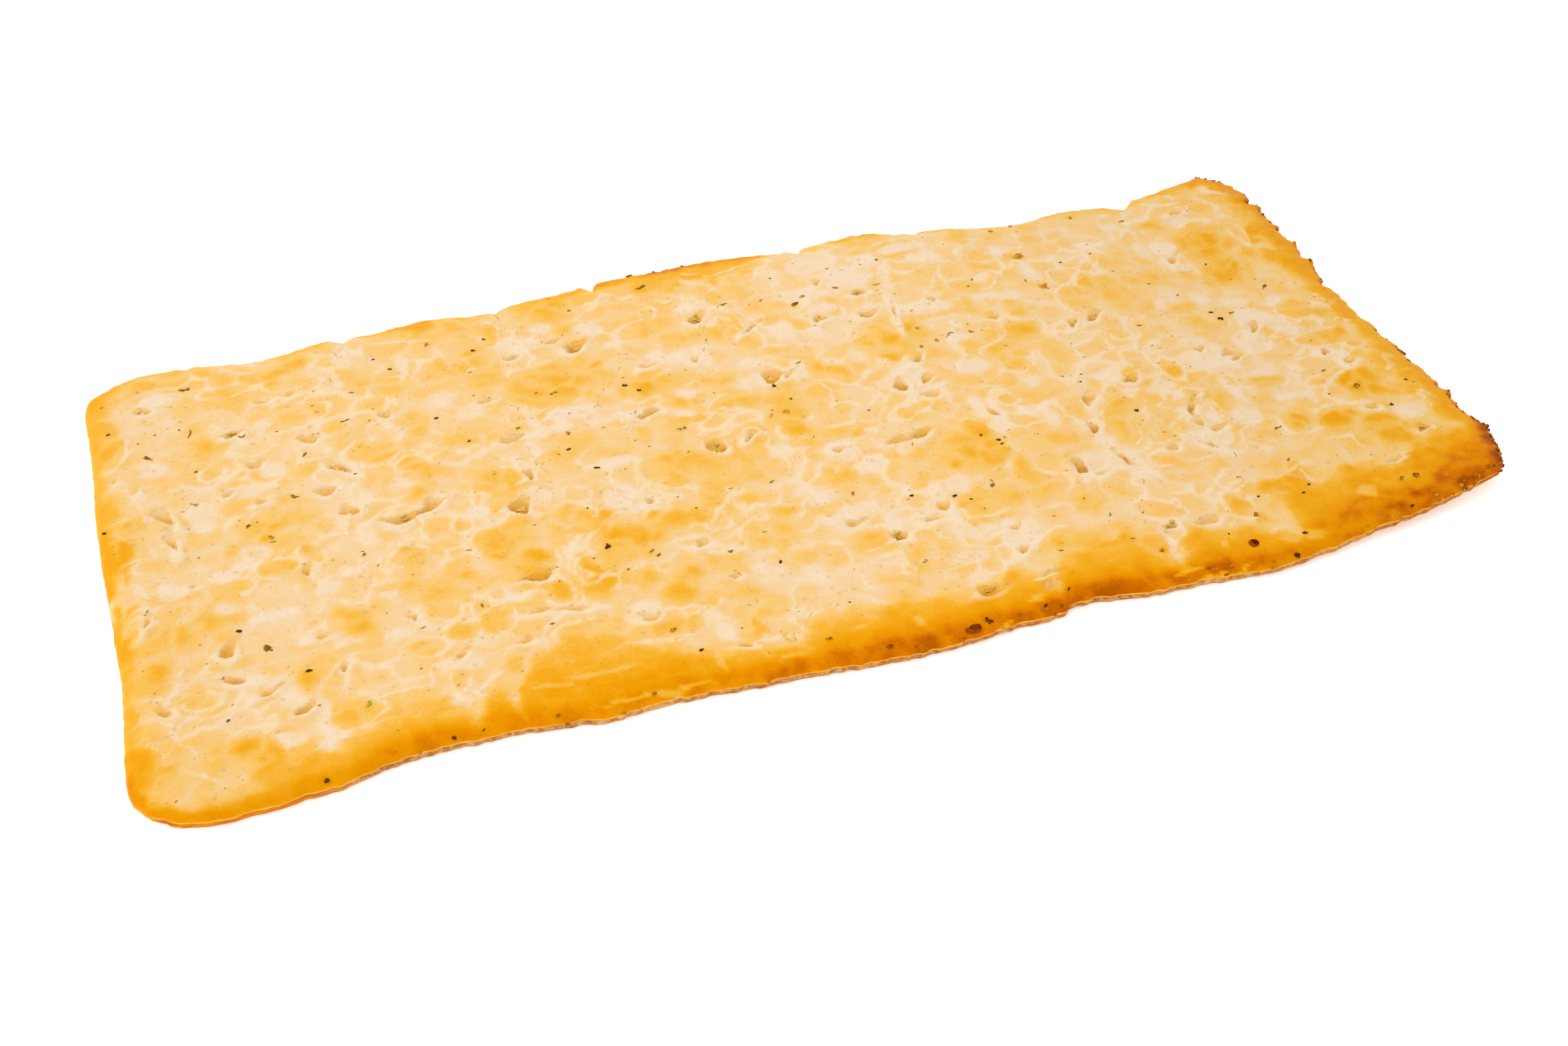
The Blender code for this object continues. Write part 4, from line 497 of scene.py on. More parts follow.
# Pits where bubbles of steam broke: (x, y, length, width, turn in degrees, tone), the
# tone of the floor running from 0, pale, to 1, brown ochre
PIT_DEPTH_RATIO = 0.42                 # depth of a pit in parts of its width
PIT_DEPTH_MOST = 0.62                  # no pit is deeper
PITS = on_crust((
    (-58.5, 28.2, 1.7, 1.0, 0, 0.4), (-55.2, 28.7, 1.8, 0.7, 15, 0.3), (-54.5, 18.7, 2.6, 1.4, -25, 0.5),
    (-61.3, 15.5, 1.9, 1.8, 0, 0.4), (-52.3, 12.3, 4.2, 1.7, -55, 0.5), (-65.3, 10.5, 1.5, 1.1, 0, 0.3),
    (-72.8, 9.0, 4.2, 1.4, -70, 0.4), (-72.4, 4.0, 3.6, 1.0, -85, 0.4), (-54.3, 7.5, 2.1, 1.6, 0, 0.4),
    (-61.5, 7.7, 1.3, 1.0, 0, 0.4), (-52.4, 3.2, 2.3, 2.1, 0, 0.5), (-77.7, 17.3, 1.3, 0.9, 0, 0.4),
    (-44.8, 20.6, 1.6, 1.5, 0, 0.4), (-46.8, -0.2, 4.0, 1.7, 5, 0.75), (-43.0, 1.1, 3.6, 1.5, 30, 0.7),
    (-27.2, 27.8, 1.5, 1.2, 0, 0.4), (-21.8, 29.6, 1.9, 0.9, 0, 0.5), (-18.8, 28.0, 3.7, 1.6, 20, 0.8),
    (-2.2, 29.2, 2.7, 2.0, 35, 0.8), (-11.5, 20.4, 1.8, 0.9, 0, 0.4), (-5.4, 19.9, 1.5, 1.1, 0, 0.4),
    (-32.5, 19.6, 1.5, 1.0, 0, 0.4), (-14.0, 10.6, 2.5, 1.4, 0, 0.7), (-31.3, 10.8, 2.6, 1.8, 0, 0.2),
    (-30.7, 2.9, 1.1, 1.8, 0, 0.6), (-8.3, 1.5, 2.6, 2.4, 0, 0.8), (-3.5, 2.2, 2.0, 1.1, 40, 0.5),
    (-33.3, -2.6, 2.6, 2.4, 30, 0.9), (-34.6, -15.8, 3.9, 1.5, 0, 1.0), (4.2, 25.0, 3.3, 1.1, 45, 0.5),
    (19.4, 22.8, 2.3, 1.3, 30, 0.7), (22.9, 23.3, 4.0, 0.6, 80, 0.3), (28.7, 23.5, 0.9, 1.3, 0, 0.4),
    (15.3, 32.3, 1.4, 1.0, 40, 0.5), (13.0, 23.9, 1.6, 1.3, 40, 0.5), (2.7, 13.3, 2.6, 2.6, 0, 0.7),
    (4.9, 12.8, 1.6, 0.9, 20, 0.4), (21.6, 11.3, 2.2, 1.1, 55, 0.6), (17.4, 6.7, 2.7, 1.7, 60, 0.8),
    (21.1, 6.8, 2.6, 1.2, 40, 0.7), (20.3, 3.5, 2.4, 1.2, 0, 0.3), (34.3, 16.6, 1.6, 0.8, 0, 0.6),
    (44.0, 12.7, 2.5, 0.9, 60, 0.5), (47.1, 13.0, 3.1, 1.3, 35, 0.7), (63.0, 22.3, 2.6, 1.2, 50, 0.4),
    (65.6, 4.1, 2.6, 1.3, 45, 0.4), (59.5, -0.3, 1.6, 1.0, 50, 0.4), (56.7, 1.3, 1.3, 1.2, 0, 0.3),
    (69.2, 33.3, 2.1, 1.2, 30, 0.3), (-58.6, -6.3, 0.9, 2.2, 0, 0.5), (-76.5, -9.6, 2.6, 0.8, 70, 0.4),
    (-68.4, -16.8, 3.3, 1.5, 65, 0.4), (-69.1, -22.0, 2.8, 1.1, -35, 0.7), (-65.5, -24.8, 2.8, 0.8, 20, 0.6),
    (-76.3, -24.6, 1.9, 1.0, -40, 0.6), (-62.3, -28.7, 1.9, 1.5, 30, 0.6), (-58.6, -18.0, 1.6, 0.8, 20, 0.4),
    (-49.0, -17.9, 2.0, 0.9, -50, 0.4), (-57.2, -23.5, 0.9, 1.3, 0, 0.4), (-45.0, -25.8, 2.2, 0.7, 40, 0.4),
    (-71.0, -5.3, 1.3, 0.8, 0, 0.3), (-35.8, -21.6, 3.8, 0.9, -12, 0.5), (-32.2, -22.4, 3.4, 0.8, -6, 0.5),
    (-24.4, -26.2, 2.0, 1.1, 0, 0.2), (-38.3, -26.0, 2.0, 0.8, 0, 0.5), (-19.1, -6.3, 0.9, 1.4, 0, 0.4),
    (-15.3, -16.0, 1.7, 1.3, 0, 0.3), (-13.6, -22.5, 1.1, 1.0, 0, 0.3), (5.2, -4.0, 1.8, 1.2, 0, 0.4),
    (13.0, -4.7, 3.6, 1.5, -4, 0.55), (16.3, -4.1, 3.4, 1.4, 18, 0.8), (25.7, -2.5, 3.2, 0.9, -75, 0.5),
    (38.5, -3.8, 2.8, 1.0, 75, 0.4), (2.5, -17.8, 2.6, 1.3, 10, 0.4), (13.4, -18.1, 2.5, 0.9, 50, 0.6),
    (10.8, -20.6, 2.2, 0.9, 0, 0.4), (31.3, -16.2, 1.5, 2.5, 0, 0.8), (36.8, -16.3, 5.3, 0.9, -75, 0.6),
    (33.4, -18.6, 2.6, 0.7, 5, 0.2), (36.4, -9.9, 1.2, 1.8, 0, 0.9), (19.2, -24.7, 1.9, 0.9, 20, 0.4),
    (18.9, -28.9, 1.9, 1.0, 20, 0.5), (12.3, -34.0, 4.0, 1.3, 10, 0.6), (19.8, -33.6, 2.2, 0.9, 0, 0.3),
    (19.3, -35.6, 1.8, 1.4, 0, 0.2), (40.8, -30.7, 2.2, 1.6, 0, 0.3), (51.1, -7.7, 1.8, 0.9, 40, 0.4),
    (49.6, -9.8, 2.8, 1.0, 62, 0.7), (48.9, -12.8, 2.6, 0.9, -80, 0.4), (50.6, -14.9, 2.4, 0.8, -5, 0.4),
    (47.8, -17.5, 3.0, 0.8, -60, 0.3), (43.7, -16.8, 1.3, 1.1, 0, 0.4), (73.2, -7.1, 1.5, 0.9, 50, 0.5),
    (71.4, -4.4, 1.1, 1.3, 0, 0.6), (70.4, -17.2, 1.4, 0.9, 0, 0.5), (67.3, -27.3, 1.5, 0.9, 0, 0.4),
    (6.4, -21.8, 1.7, 1.5, 0, 0.8), (36.4, -30.2, 1.6, 1.5, 0, 0.7), (74.2, -22.8, 1.6, 1.9, 0, 0.7),
    (45.0, -1.9, 1.9, 1.3, 30, 0.6), (20.0, 28.2, 2.0, 1.4, 0, 0.9), (-63.0, 22.6, 2.4, 1.1, 0, 0.6),
    (-72.8, 31.0, 2.2, 1.1, 0, 0.4), (-16.2, -34.3, 1.5, 0.8, 0, 0.8), (60.3, -1.5, 1.6, 1.1, 30, 0.4),
))


def patches(x, y, table):
    """For each place, how far away the middle of the nearest ellipse of the table
    is, in parts of its radius, and that radius in millimetres. Where ellipses meet
    they flow together: away = -log(sum of exp(-7 away of each)) / 7, and the radius
    is the mean of theirs with those powers as weights."""
    parting = 7.0
    total, weighted = np.full(x.shape, 1.0e-20), np.full(x.shape, 1.0e-20)
    for centre_x, centre_y, half_x, half_y in table:
        away = np.hypot((x - centre_x) / half_x, (y - centre_y) / half_y)
        weight = np.exp(-parting * away)
        total = total + weight
        weighted = weighted + weight * math.sqrt(half_x * half_y)
    return -np.log(total) / parting, weighted / total


def cells(x, y, size, seed):
    """Cells round the jittered points of a square lattice: the distance from each
    place to its cell's border, and a random value from -1 to 1 for the cell."""
    count = 256
    rng = np.random.default_rng(seed)
    shift_x, shift_y, values = rng.uniform(-1.0, 1.0, (3, count, count))
    column, row = np.floor(x / size).astype(int), np.floor(y / size).astype(int)
    nearest, second = np.full(x.shape, 1.0e3), np.full(x.shape, 1.0e3)
    value = np.zeros(x.shape)
    for step_x in (-2, -1, 0, 1, 2):
        for step_y in (-2, -1, 0, 1, 2):
            i, j = (column + step_x) % count, (row + step_y) % count
            away = np.hypot(x - (column + step_x + 0.5 + 0.42 * shift_x[i, j]) * size,
                            y - (row + step_y + 0.5 + 0.42 * shift_y[i, j]) * size)
            closer = away < nearest
            second = np.where(closer, nearest, np.minimum(second, away))
            value = np.where(closer, values[i, j], value)
            nearest = np.minimum(nearest, away)
    return 0.5 * (second - nearest), value


def pit_depths(x, y):
    """For each place: how far it lies inside the wall of the nearest pit, in
    millimetres and negative outside, that pit's tone, where the place lies between
    the pit's front, 0, and its back, 1, and the depth of the pits. A pit is an
    ellipse with two or three lobes and a wandering wall. It is steep at the front,
    where the bubble tore the crust, and rises gently toward the back."""
    wander_x = x + 0.40 * swells(x, y, 1.5, 51)
    wander_y = y + 0.40 * swells(x, y, 1.5, 52)
    lobes = np.random.default_rng(74).uniform(0.0, 2.0 * np.pi, (len(PITS), 2))
    inside, depth = np.full(x.shape, -2.0), np.zeros(x.shape)
    tone, back = np.zeros(x.shape), np.ones(x.shape)
    for (pit_x, pit_y, length, width, turn, pit_tone), (two, three) in zip(PITS, lobes):
        turn = math.radians(turn)
        along = (wander_x - pit_x) * math.cos(turn) + (wander_y - pit_y) * math.sin(turn)
        across = (wander_y - pit_y) * math.cos(turn) - (wander_x - pit_x) * math.sin(turn)
        angle = np.arctan2(across / width, along / length)
        lobed = 1.04 + 0.14 * np.cos(2.0 * angle + two) + 0.20 * np.cos(3.0 * angle + three)
        here = (1.0 - np.hypot(along / (0.5 * length), across / (0.5 * width)) / lobed) * 0.5 * width
        toward_back = smooth(0.5 + 0.5 * (wander_y - pit_y) / (0.4 * width + 0.15 * length))
        tone = np.where(here > inside, pit_tone, tone)
        back = np.where(here > inside, toward_back, back)
        inside = np.maximum(inside, here)
        run_up = 0.30 + (0.40 * width + 0.30) * toward_back
        deepest = min(PIT_DEPTH_RATIO * width, PIT_DEPTH_MOST)
        depth = np.maximum(depth, deepest * smooth((here + 0.14) / run_up))
    return inside, tone, back, depth


def crust(x, y, inward):
    """Browning, seam, pit, tone, back and relief of the top face at each place that
    lies inward of the lip.

    Browning goes from its base to each table's level in turn, over edges that are
    soft in most places, and is a little more toward an island's middle. In the front
    band it rises to the heat there, more toward the lip, with streaks along the edge
    and a scorch on the lip itself, and less in the pale streaks. It is also less at
    the borders of the cells, and on the lips of the pits, most at their fronts: there
    it is pale dough on a raised lip, and painted highlight where the rim meets the light.
    Seam is the distance to the nearest pale ridge, which is the border of a warped
    cell or runs round a crisp island, and it is more where the ridge is faint. A
    pale ridge also rings each pit's front as part of that painted highlight.
    The relief adds pillows under the islands, the ridges, a fine unevenness, more of
    it where the right front corner crumbles, and a lip at the front of each pit, and
    takes the pits' depth away."""
    warp_x = x + 0.66 * ripples(x, y, 4.2, 41) + 0.20 * ripples(x, y, 1.1, 33)
    warp_y = y + 0.66 * ripples(x, y, 4.2, 44) + 0.20 * ripples(x, y, 1.1, 36)
    border, cell = cells(x + 1.5 * ripples(x, y, 3.6, 47), y + 1.5 * ripples(x, y, 3.6, 61), 4.4, 53)
    seam = border + 0.7 * (1.0 - smooth(0.72 + 0.9 * swells(x, y, 4.5, 54)))
    dome = smooth(border / 1.1)
    dapple = swells(x, y, 2.2, 56)
    browning = 0.38 + 0.10 * swells(x, y, 6.5, 55) + 0.09 * dapple + 0.12 * cell
    softness = smooth(0.34 + 1.1 * swells(x, y, 4.6, 59))
    for level, table in BROWNING:
        away, radius = patches(warp_x, warp_y, table)
        width = np.minimum((0.70 / radius) * (1.0 - softness) + 1.15 * softness, 1.4)
        share = smooth(0.5 + (1.04 - away) / width)
        if table is WARM or table is GOLDEN:
            ridge = np.abs(away - 1.10 - 0.5 * width) * radius + 1.4 * softness
            seam = np.minimum(seam + 0.5 * share, ridge)
        core = 0.15 * level * (np.clip(1.0 - away, 0.0, 0.9) - 0.3)
        browning = browning + (1.06 * level + core + 0.06 * cell + 0.08 * dapple - browning) * share
    # The front band, from how far past its line the place is
    past_line = np.interp(warp_x, *FRONT_BAND.T) - warp_y + 0.9 * ripples(x, y, 3.2, 35)
    in_band = smooth((past_line + 1.9) / 3.2)
    toward_lip = np.clip(past_line / (past_line + np.clip(inward, 0.0, None) + 0.4), 0.0, 1.0)
    crumbly = smooth((x - 48.0) / 14.0) * smooth((past_line + 1.0) / 3.0)
    from_front = y - np.interp(x, *outline[:ALONG].T)
    grained = ripples(0.35 * x, 1.3 * from_front, 2.6, 58) + 0.8 * swells(x, y, 2.4, 34)
    front_level = (np.interp(x, *FRONT_HEAT.T) * (0.80 + 0.40 * smooth(1.25 * toward_lip))
                   + (0.07 + 0.06 * crumbly) * grained
                   + np.interp(x, *LIP_SCORCH.T) * smooth((2.6 - inward) / 1.8))
    front_level = front_level + 0.15 * crumbly * ripples(x, y, 1.3, 79)
    browning = browning + (np.maximum(front_level, browning) - browning) * in_band
    seam = seam + 0.30 * in_band
    away, radius = patches(warp_x, warp_y, STREAKS)
    streak = 0.75 * in_band * smooth(0.5 + (1.0 - away) * radius / 0.5)
    browning = browning + (0.55 - browning) * streak
    # Pillows, pits and their lips
    browning = browning * (1.08 - 0.38 * (1.0 - dome) * (1.0 - 0.75 * in_band))
    pillow = 0.16 * smooth((browning - 0.25) / 0.6)
    inside, tone, back, depth = pit_depths(x, y)
    # The lip round each pit, most at its front: raised dough, paled partly as painted highlight on the lit
    # front rim, with a pale ridge round it
    pit_lip_and_highlight = smooth((inside + 1.1) / 0.8) * (1.0 - 0.7 * back) * (1.0 - in_band)
    browning = browning * (1.0 - 0.6 * pit_lip_and_highlight)
    seam = np.minimum(seam, np.abs(inside + 0.28) + 1.0 * back)
    relief = (0.10 * swells(x, y, 13.0, 29) + pillow + 0.07 * smooth(1.0 - seam / 0.8)
              + (0.035 + 0.07 * crumbly) * ripples(x, y, 2.0, 57))
    return browning, seam, inside, tone, back, relief + 0.10 * pit_lip_and_highlight - depth


def rim_browning(x, y, inward):
    """Browning that the stretches of edge add: each one's level, less with the
    distance along the edge from its middle and inward from the lip."""
    most = np.zeros(x.shape)
    wavering = inward * (1.0 + 0.35 * ripples(x, y, 2.4, 73)) - 0.25 * ripples(x, y, 1.8, 75)
    for place_x, place_y, reach, width, level in RIM_BROWNING:
        along = np.hypot(x - place_x, y - place_y) / reach
        share = smooth(1.6 - 1.2 * along) * smooth(1.3 - wavering / width)
        most = np.maximum(most, level * share)
    return most


# The edge's teeth, as steps outward: uneven fields along the edge, times the swing of
# the side, which passes evenly into the next round each corner, less the notches
CORNER_REACH = 15                      # points to each side over which the swing is the mean
side_of = np.repeat((FRONT, RIGHT, BACK, LEFT), side_counts)
wrapped = np.arange(-CORNER_REACH, len(run) + CORNER_REACH) % len(run)
window = 2 * CORNER_REACH + 1
swing = np.convolve(np.take(SERRATION, side_of)[wrapped], np.full(window, 1.0 / window), "valid")
teeth = swing * (swells(run, 0.0 * run, 0.9, 62) + 0.9 * swells(run, 0.0 * run, 2.6, 63)
                 + 1.0 * swells(run, 0.0 * run, 5.2, 77)
                 - 0.8 * np.abs(swells(run, 0.0 * run, 1.7, 72)) ** 0.6)
for notch_x, notch_y, width, depth in NOTCHES:
    away = np.hypot(outline[:, 0] - notch_x, outline[:, 1] - notch_y) / (0.5 * width)
    teeth = teeth - depth * np.clip(1.0 - away, 0.0, 1.0)
band = RINGS[-1]


def ring(inward):
    """The outline moved inward by a distance, with its teeth and notches fading
    evenly to nothing across the band."""
    return outline + fan * (teeth * (1.0 - inward / band) - inward)[:, None]


def coons(front, right, back, left):
    """Surface between four curves: the blend of front and back, plus the blend of
    left and right, less the blend of the four corners."""
    u = np.linspace(0.0, 1.0, len(front))[:, None, None]
    v = np.linspace(0.0, 1.0, len(left))[None, :, None]
    between_ends = (1.0 - v) * front[:, None] + v * back[:, None]
    between_sides = (1.0 - u) * left[None] + u * right[None]
    corners = ((1.0 - u) * (1.0 - v) * front[0] + u * (1.0 - v) * front[-1]
               + (1.0 - u) * v * back[0] + u * v * back[-1])
    return between_ends + between_sides - corners


def patch_inside(loop, along, across):
    """The Coons patch bounded by a loop of 2 (along + across) points."""
    a, b, c = along, along + across, 2 * along + across
    closed = np.vstack([loop, loop[:1]])
    return coons(closed[:a + 1], closed[a:b + 1], closed[b:c + 1][::-1], closed[c:][::-1])


def border_of(along, across):
    """Numbers of a grid's border points, anticlockwise from its first corner."""
    number = np.arange((along + 1) * (across + 1)).reshape(along + 1, across + 1)
    return np.concatenate([number[:-1, 0], number[-1, :-1], number[:0:-1, -1], number[0, :0:-1]])


def grid_faces(along, across, first):
    """Quads of a grid of points, facing up, from the number of its first point."""
    number = first + np.arange((along + 1) * (across + 1)).reshape(along + 1, across + 1)
    return np.stack([number[:-1, :-1], number[1:, :-1], number[1:, 1:], number[:-1, 1:]], -1).reshape(-1, 4)


def strip_faces(upper, lower):
    """Quads between two closed rings of point numbers, facing away from them."""
    return np.stack([upper, lower, np.roll(lower, -1), np.roll(upper, -1)], -1)


# The top face: a blend of its four sides (a Coons patch) inside the rim, then rings
# at growing nearness to the lip, then the wall's rings down to the foot
FIELD_NAMES = ("browning", "seam", "pit", "tone", "back", "crumb")
layers, fields = [], []


def add_layer(x, y, z, browning, seam=2.0, pit=-2.0, tone=0.0, back=1.0, crumb=0.0):
    """The sheet's next points, with the numbers that its material reads: away from
    seams and pits unless said otherwise, and crust, not bare crumb."""
    layers.append(np.column_stack([x, y, z]))
    fields.append(np.column_stack([np.broadcast_to(number, x.shape)
                                   for number in (browning, seam, pit, tone, back, crumb)]))


x, y = patch_inside(ring(band), ALONG, ACROSS).reshape(-1, 2).T
inward = distance_to(coarse_outline, x, y)
browning, seam, inside, tone, back, relief = crust(x, y, inward)
browning = np.maximum(browning, rim_browning(x, y, inward))
add_layer(x, y, form_height(x, y, np.full(len(x), band)) + relief, browning, seam, inside, tone, back)
for inward in RINGS[-2::-1]:
    x, y = ring(inward).T
    browning, seam, inside, tone, back, relief = crust(x, y, inward)
    browning = np.maximum(browning, rim_browning(x, y, inward))
    share = min(inward / ROUNDING, 1.0)
    z = form_height(x, y, np.full(len(x), inward)) + relief * share
    add_layer(x, y, z, browning, seam + 0.4 * (1.0 - share), inside, tone, back)

# The wall's rings, from the lip down: (height, inset from the lip, roughness, share
# of bare crumb). The front's first two are the golden underside of the lip.
WALL = (
    (1.14, 0.02, 0.03, 0.0), (0.96, 0.10, 0.05, 0.35), (0.80, 0.20, 0.10, 1.0), (0.60, 0.16, 0.12, 1.0),
    (0.40, 0.22, 0.12, 1.0), (0.20, 0.34, 0.10, 1.0), (0.05, 0.46, 0.05, 0.8), (0.0, 0.62, 0.0, 0.6),
)
FOOT_INSET = WALL[-1][1]
GOLDEN_RINGS, GOLDEN_RING_LEVEL = 2, 0.80
# How far the front wall's crumb is bare, and how brown it baked: (x, amount)
FRONT_BARE = np.array((
    (-64.0, 0.10), (-57.0, 1.0), (-34.0, 0.95), (-8.0, 0.85), (46.0, 0.8), (60.0, 0.6), (76.0, 0.3),
))
FRONT_BAKED = np.array((
    (-78.0, 1.5), (-62.0, 1.5), (-57.0, 1.2), (0.0, 1.4), (46.0, 1.5), (66.0, 1.6),
))
OTHER_WALLS_BARE = 0.2
OTHER_WALLS_BAKED = 1.45
LEFT_WALL_BAKED = 1.1
on_front = side_of == FRONT
bare = np.where(on_front, np.interp(outline[:, 0], *FRONT_BARE.T), OTHER_WALLS_BARE)
baked = np.where(on_front, np.interp(outline[:, 0], *FRONT_BAKED.T), OTHER_WALLS_BAKED)
baked = np.where(side_of == LEFT, LEFT_WALL_BAKED, baked)
for level, (height, inset, rough, crumb_share) in enumerate(WALL):
    lump = rough * (swells(run, np.full(len(run), level * 1.7), 0.7, 64)
                    + swells(run, np.full(len(run), level * 1.1), 1.9, 65))
    x, y = (outline + fan * (teeth * (1.0 - 0.35 * inset / FOOT_INSET) - inset + lump)[:, None]).T
    browning = np.where(on_front & (level < GOLDEN_RINGS), GOLDEN_RING_LEVEL, baked)
    browning = browning + 0.25 * swells(run, np.full(len(run), level * 0.9), 1.3, 76)
    add_layer(x, y, curl(x, y) + height, browning, crumb=bare * crumb_share)

# The underside: a grid of half the fineness, with the shallow dimples of the pan
UNDERSIDE_INSET = 1.6
under_ring = (outline + fan * (teeth * 0.5 - UNDERSIDE_INSET)[:, None])[::2]
x, y = patch_inside(under_ring, ALONG // 2, ACROSS // 2).reshape(-1, 2).T
dimples = (0.5 * np.clip(swells(x, y, 8.0, 30) - 0.25, 0.0, 1.0)
           + 0.06 * np.clip(ripples(x, y, 1.6, 66), 0.0, 2.0))
dimples[border_of(ALONG // 2, ACROSS // 2)] = 0.0
browning = 0.62 + 0.22 * swells(x, y, 11.0, 70) + 0.16 * ripples(x, y, 3.5, 71) - 0.55 * dimples
border, _ = cells(x + ripples(x, y, 4.0, 67), y + ripples(x, y, 4.0, 68), 6.0, 69)
add_layer(x, y, curl(x, y) + dimples, browning, border + 0.15)

# Faces: the top grid, strips between the rings, a seam at the foot from each pair of
# the last ring's points to one of the underside's, and the underside's grid
points = np.vstack(layers)
values = np.vstack(fields)
faces = [grid_faces(ALONG, ACROSS, 0)]
upper = border_of(ALONG, ACROSS)
first = len(layers[0])
for _ in range(len(RINGS) - 1 + len(WALL)):
    lower = first + np.arange(len(outline))
    faces.append(strip_faces(upper, lower))
    upper, first = lower, first + len(outline)
faces.append(grid_faces(ALONG // 2, ACROSS // 2, first)[:, ::-1])
under = first + border_of(ALONG // 2, ACROSS // 2)
under_next = np.roll(under, -1)
even, odd = upper[0::2], upper[1::2]
foot_seam = np.concatenate([
    np.stack([even, under, odd], -1),
    np.stack([odd, under, under_next], -1),
    np.stack([odd, under_next, np.roll(even, -1)], -1)])


def put_in_scene(name, vertices, polygons):
    """A mesh object of that name at the origin, from points in metres."""
    mesh = bpy.data.meshes.new(name)
    mesh.from_pydata(vertices.tolist(), [], polygons)
    mesh.shade_smooth()
    piece = bpy.data.objects.new(name, mesh)
    bpy.context.scene.collection.objects.link(piece)
    return piece


def store(piece, name, numbers):
    """One number for each point of the piece's mesh, under that name."""
    attribute = piece.data.attributes.new(name, "FLOAT", "POINT")
    attribute.data.foreach_set("value", np.ascontiguousarray(numbers, np.float32))


sheet = put_in_scene("baked_sheet", in_metres(*points.T), np.vstack(faces).tolist() + foot_seam.tolist())
for name, numbers in zip(FIELD_NAMES, values.T):
    store(sheet, name, numbers)


def linear(hex_colour):
    """Linear colour of an sRGB hex value: c / 12.92 when small, and otherwise
    ((c + 0.055) / 1.055) to the power 2.4."""
    parts = [int(hex_colour[i:i + 2], 16) / 255.0 for i in (1, 3, 5)]
    return [c / 12.92 if c <= 0.04045 else ((c + 0.055) / 1.055) ** 2.4 for c in parts] + [1.0]


def add(tree, kind, inputs={}, stops=(), output=0, **settings):
    """Adds a node of a kind with its settings and, for a colour ramp, its stops as
    (position, hex). An input takes another node's output, a hex colour or a plain
    value. Gives back the node's output of that name or number."""
    node = tree.nodes.new(kind)
    for name, setting in settings.items():
        setattr(node, name, setting)
    for name, source in inputs.items():
        if isinstance(source, bpy.types.NodeSocket):
            tree.links.new(source, node.inputs[name])
        else:
            node.inputs[name].default_value = linear(source) if isinstance(source, str) else source
    while stops and len(node.color_ramp.elements) < len(stops):
        node.color_ramp.elements.new(1.0)
    for element, (position, colour) in zip(node.color_ramp.elements if stops else (), stops):
        element.position = position
        element.color = linear(colour)
    return node.outputs[output] if node.outputs else None


# Baked dough: a dry, matt crust, smooth as eggshell where it is golden. Thin pale
# ridges of it catch the light, and light that enters it comes out warmer nearby.
dough = bpy.data.materials.new("baked_dough_crust")
dough.use_nodes = True
tree = dough.node_tree
tree.nodes.clear()
place = add(tree, "ShaderNodeTexCoord", output="Object")
browning, seam, pit, tone, back, crumb = (
    add(tree, "ShaderNodeAttribute", output="Fac", attribute_name=name) for name in FIELD_NAMES)
# Uneven patterns: (width of the patches in millimetres, detail, roughness, bend)
PATTERNS = (
    (1.6, 4.0, 0.6, 0.0),              # blotches of the crust
    (0.4, 3.0, 0.6, 0.0),              # its mottling
    (0.16, 2.0, 0.5, 0.0),             # its freckles
    (0.9, 3.0, 0.5, 0.0),              # wobbling edges of the ridges
    (1.5, 4.0, 0.6, 0.0),              # painted shade of small dents
    (3.2, 2.0, 0.5, 0.3),              # what the hairline cracks follow
    (5.5, 2.0, 0.5, 0.0),              # where they are
    (0.6, 4.0, 0.7, 0.0),              # ragged walls of the pits
    (0.3, 3.0, 0.65, 0.0),             # fibres on their floors
    (0.8, 4.0, 0.7, 0.0),              # streaks of the wall's bare crumb
)
blotch, mottle, freckle, wobble, dent_shade, hairline, cracked, ragged, fibres, streak = (
    add(tree, "ShaderNodeTexNoise", {"Vector": place, "Scale": 1.0 / (wide * MM), "Detail": detail,
                                     "Roughness": rough, "Distortion": bend})
    for wide, detail, rough, bend in PATTERNS)
# What fades between two levels of browning: (low, high, what is left beyond the high)
FADES = (
    (0.7, 1.3, 0.4),                   # the mottling
    (0.7, 1.2, 0.2),                   # the pale ridges
    (0.16, 0.36, 0.0),                 # the painted shade of small dents
    (0.55, 0.95, 0.0),                 # the cracks and pinholes
)
mottling, ridging, dent_shade_fade, cracking = (
    add(tree, "ShaderNodeMapRange", {"Value": browning, "From Min": low, "From Max": high, "To Min": 1.0,
                                     "To Max": left}, interpolation_type="SMOOTHSTEP")
    for low, high, left in FADES)
# The crust's colour by its browning, blotched and mottled
amount = add(tree, "ShaderNodeMath", {0: browning, 1: 0.5, 2: -0.085}, operation="MULTIPLY_ADD")
amount = add(tree, "ShaderNodeMath", {0: blotch, 1: 0.17, 2: amount}, operation="MULTIPLY_ADD")
fine = add(tree, "ShaderNodeMath", {0: mottle, 1: 0.13, 2: -0.105}, operation="MULTIPLY_ADD")
fine = add(tree, "ShaderNodeMath", {0: freckle, 1: 0.08, 2: fine}, operation="MULTIPLY_ADD")
amount = add(tree, "ShaderNodeMath", {0: fine, 1: mottling, 2: amount}, operation="MULTIPLY_ADD")
colour = add(tree, "ShaderNodeValToRGB", {"Fac": amount}, stops=(
    (0.0, "#D9C2A6"), (0.10, "#D8BA8F"), (0.21, "#DAB16E"), (0.30, "#DAAB54"), (0.41, "#D9A035"),
    (0.50, "#D8981A"), (0.60, "#D58E04"), (0.70, "#D08000"), (0.80, "#BE6500"), (0.90, "#9C4A02"),
    (1.0, "#70360A")))
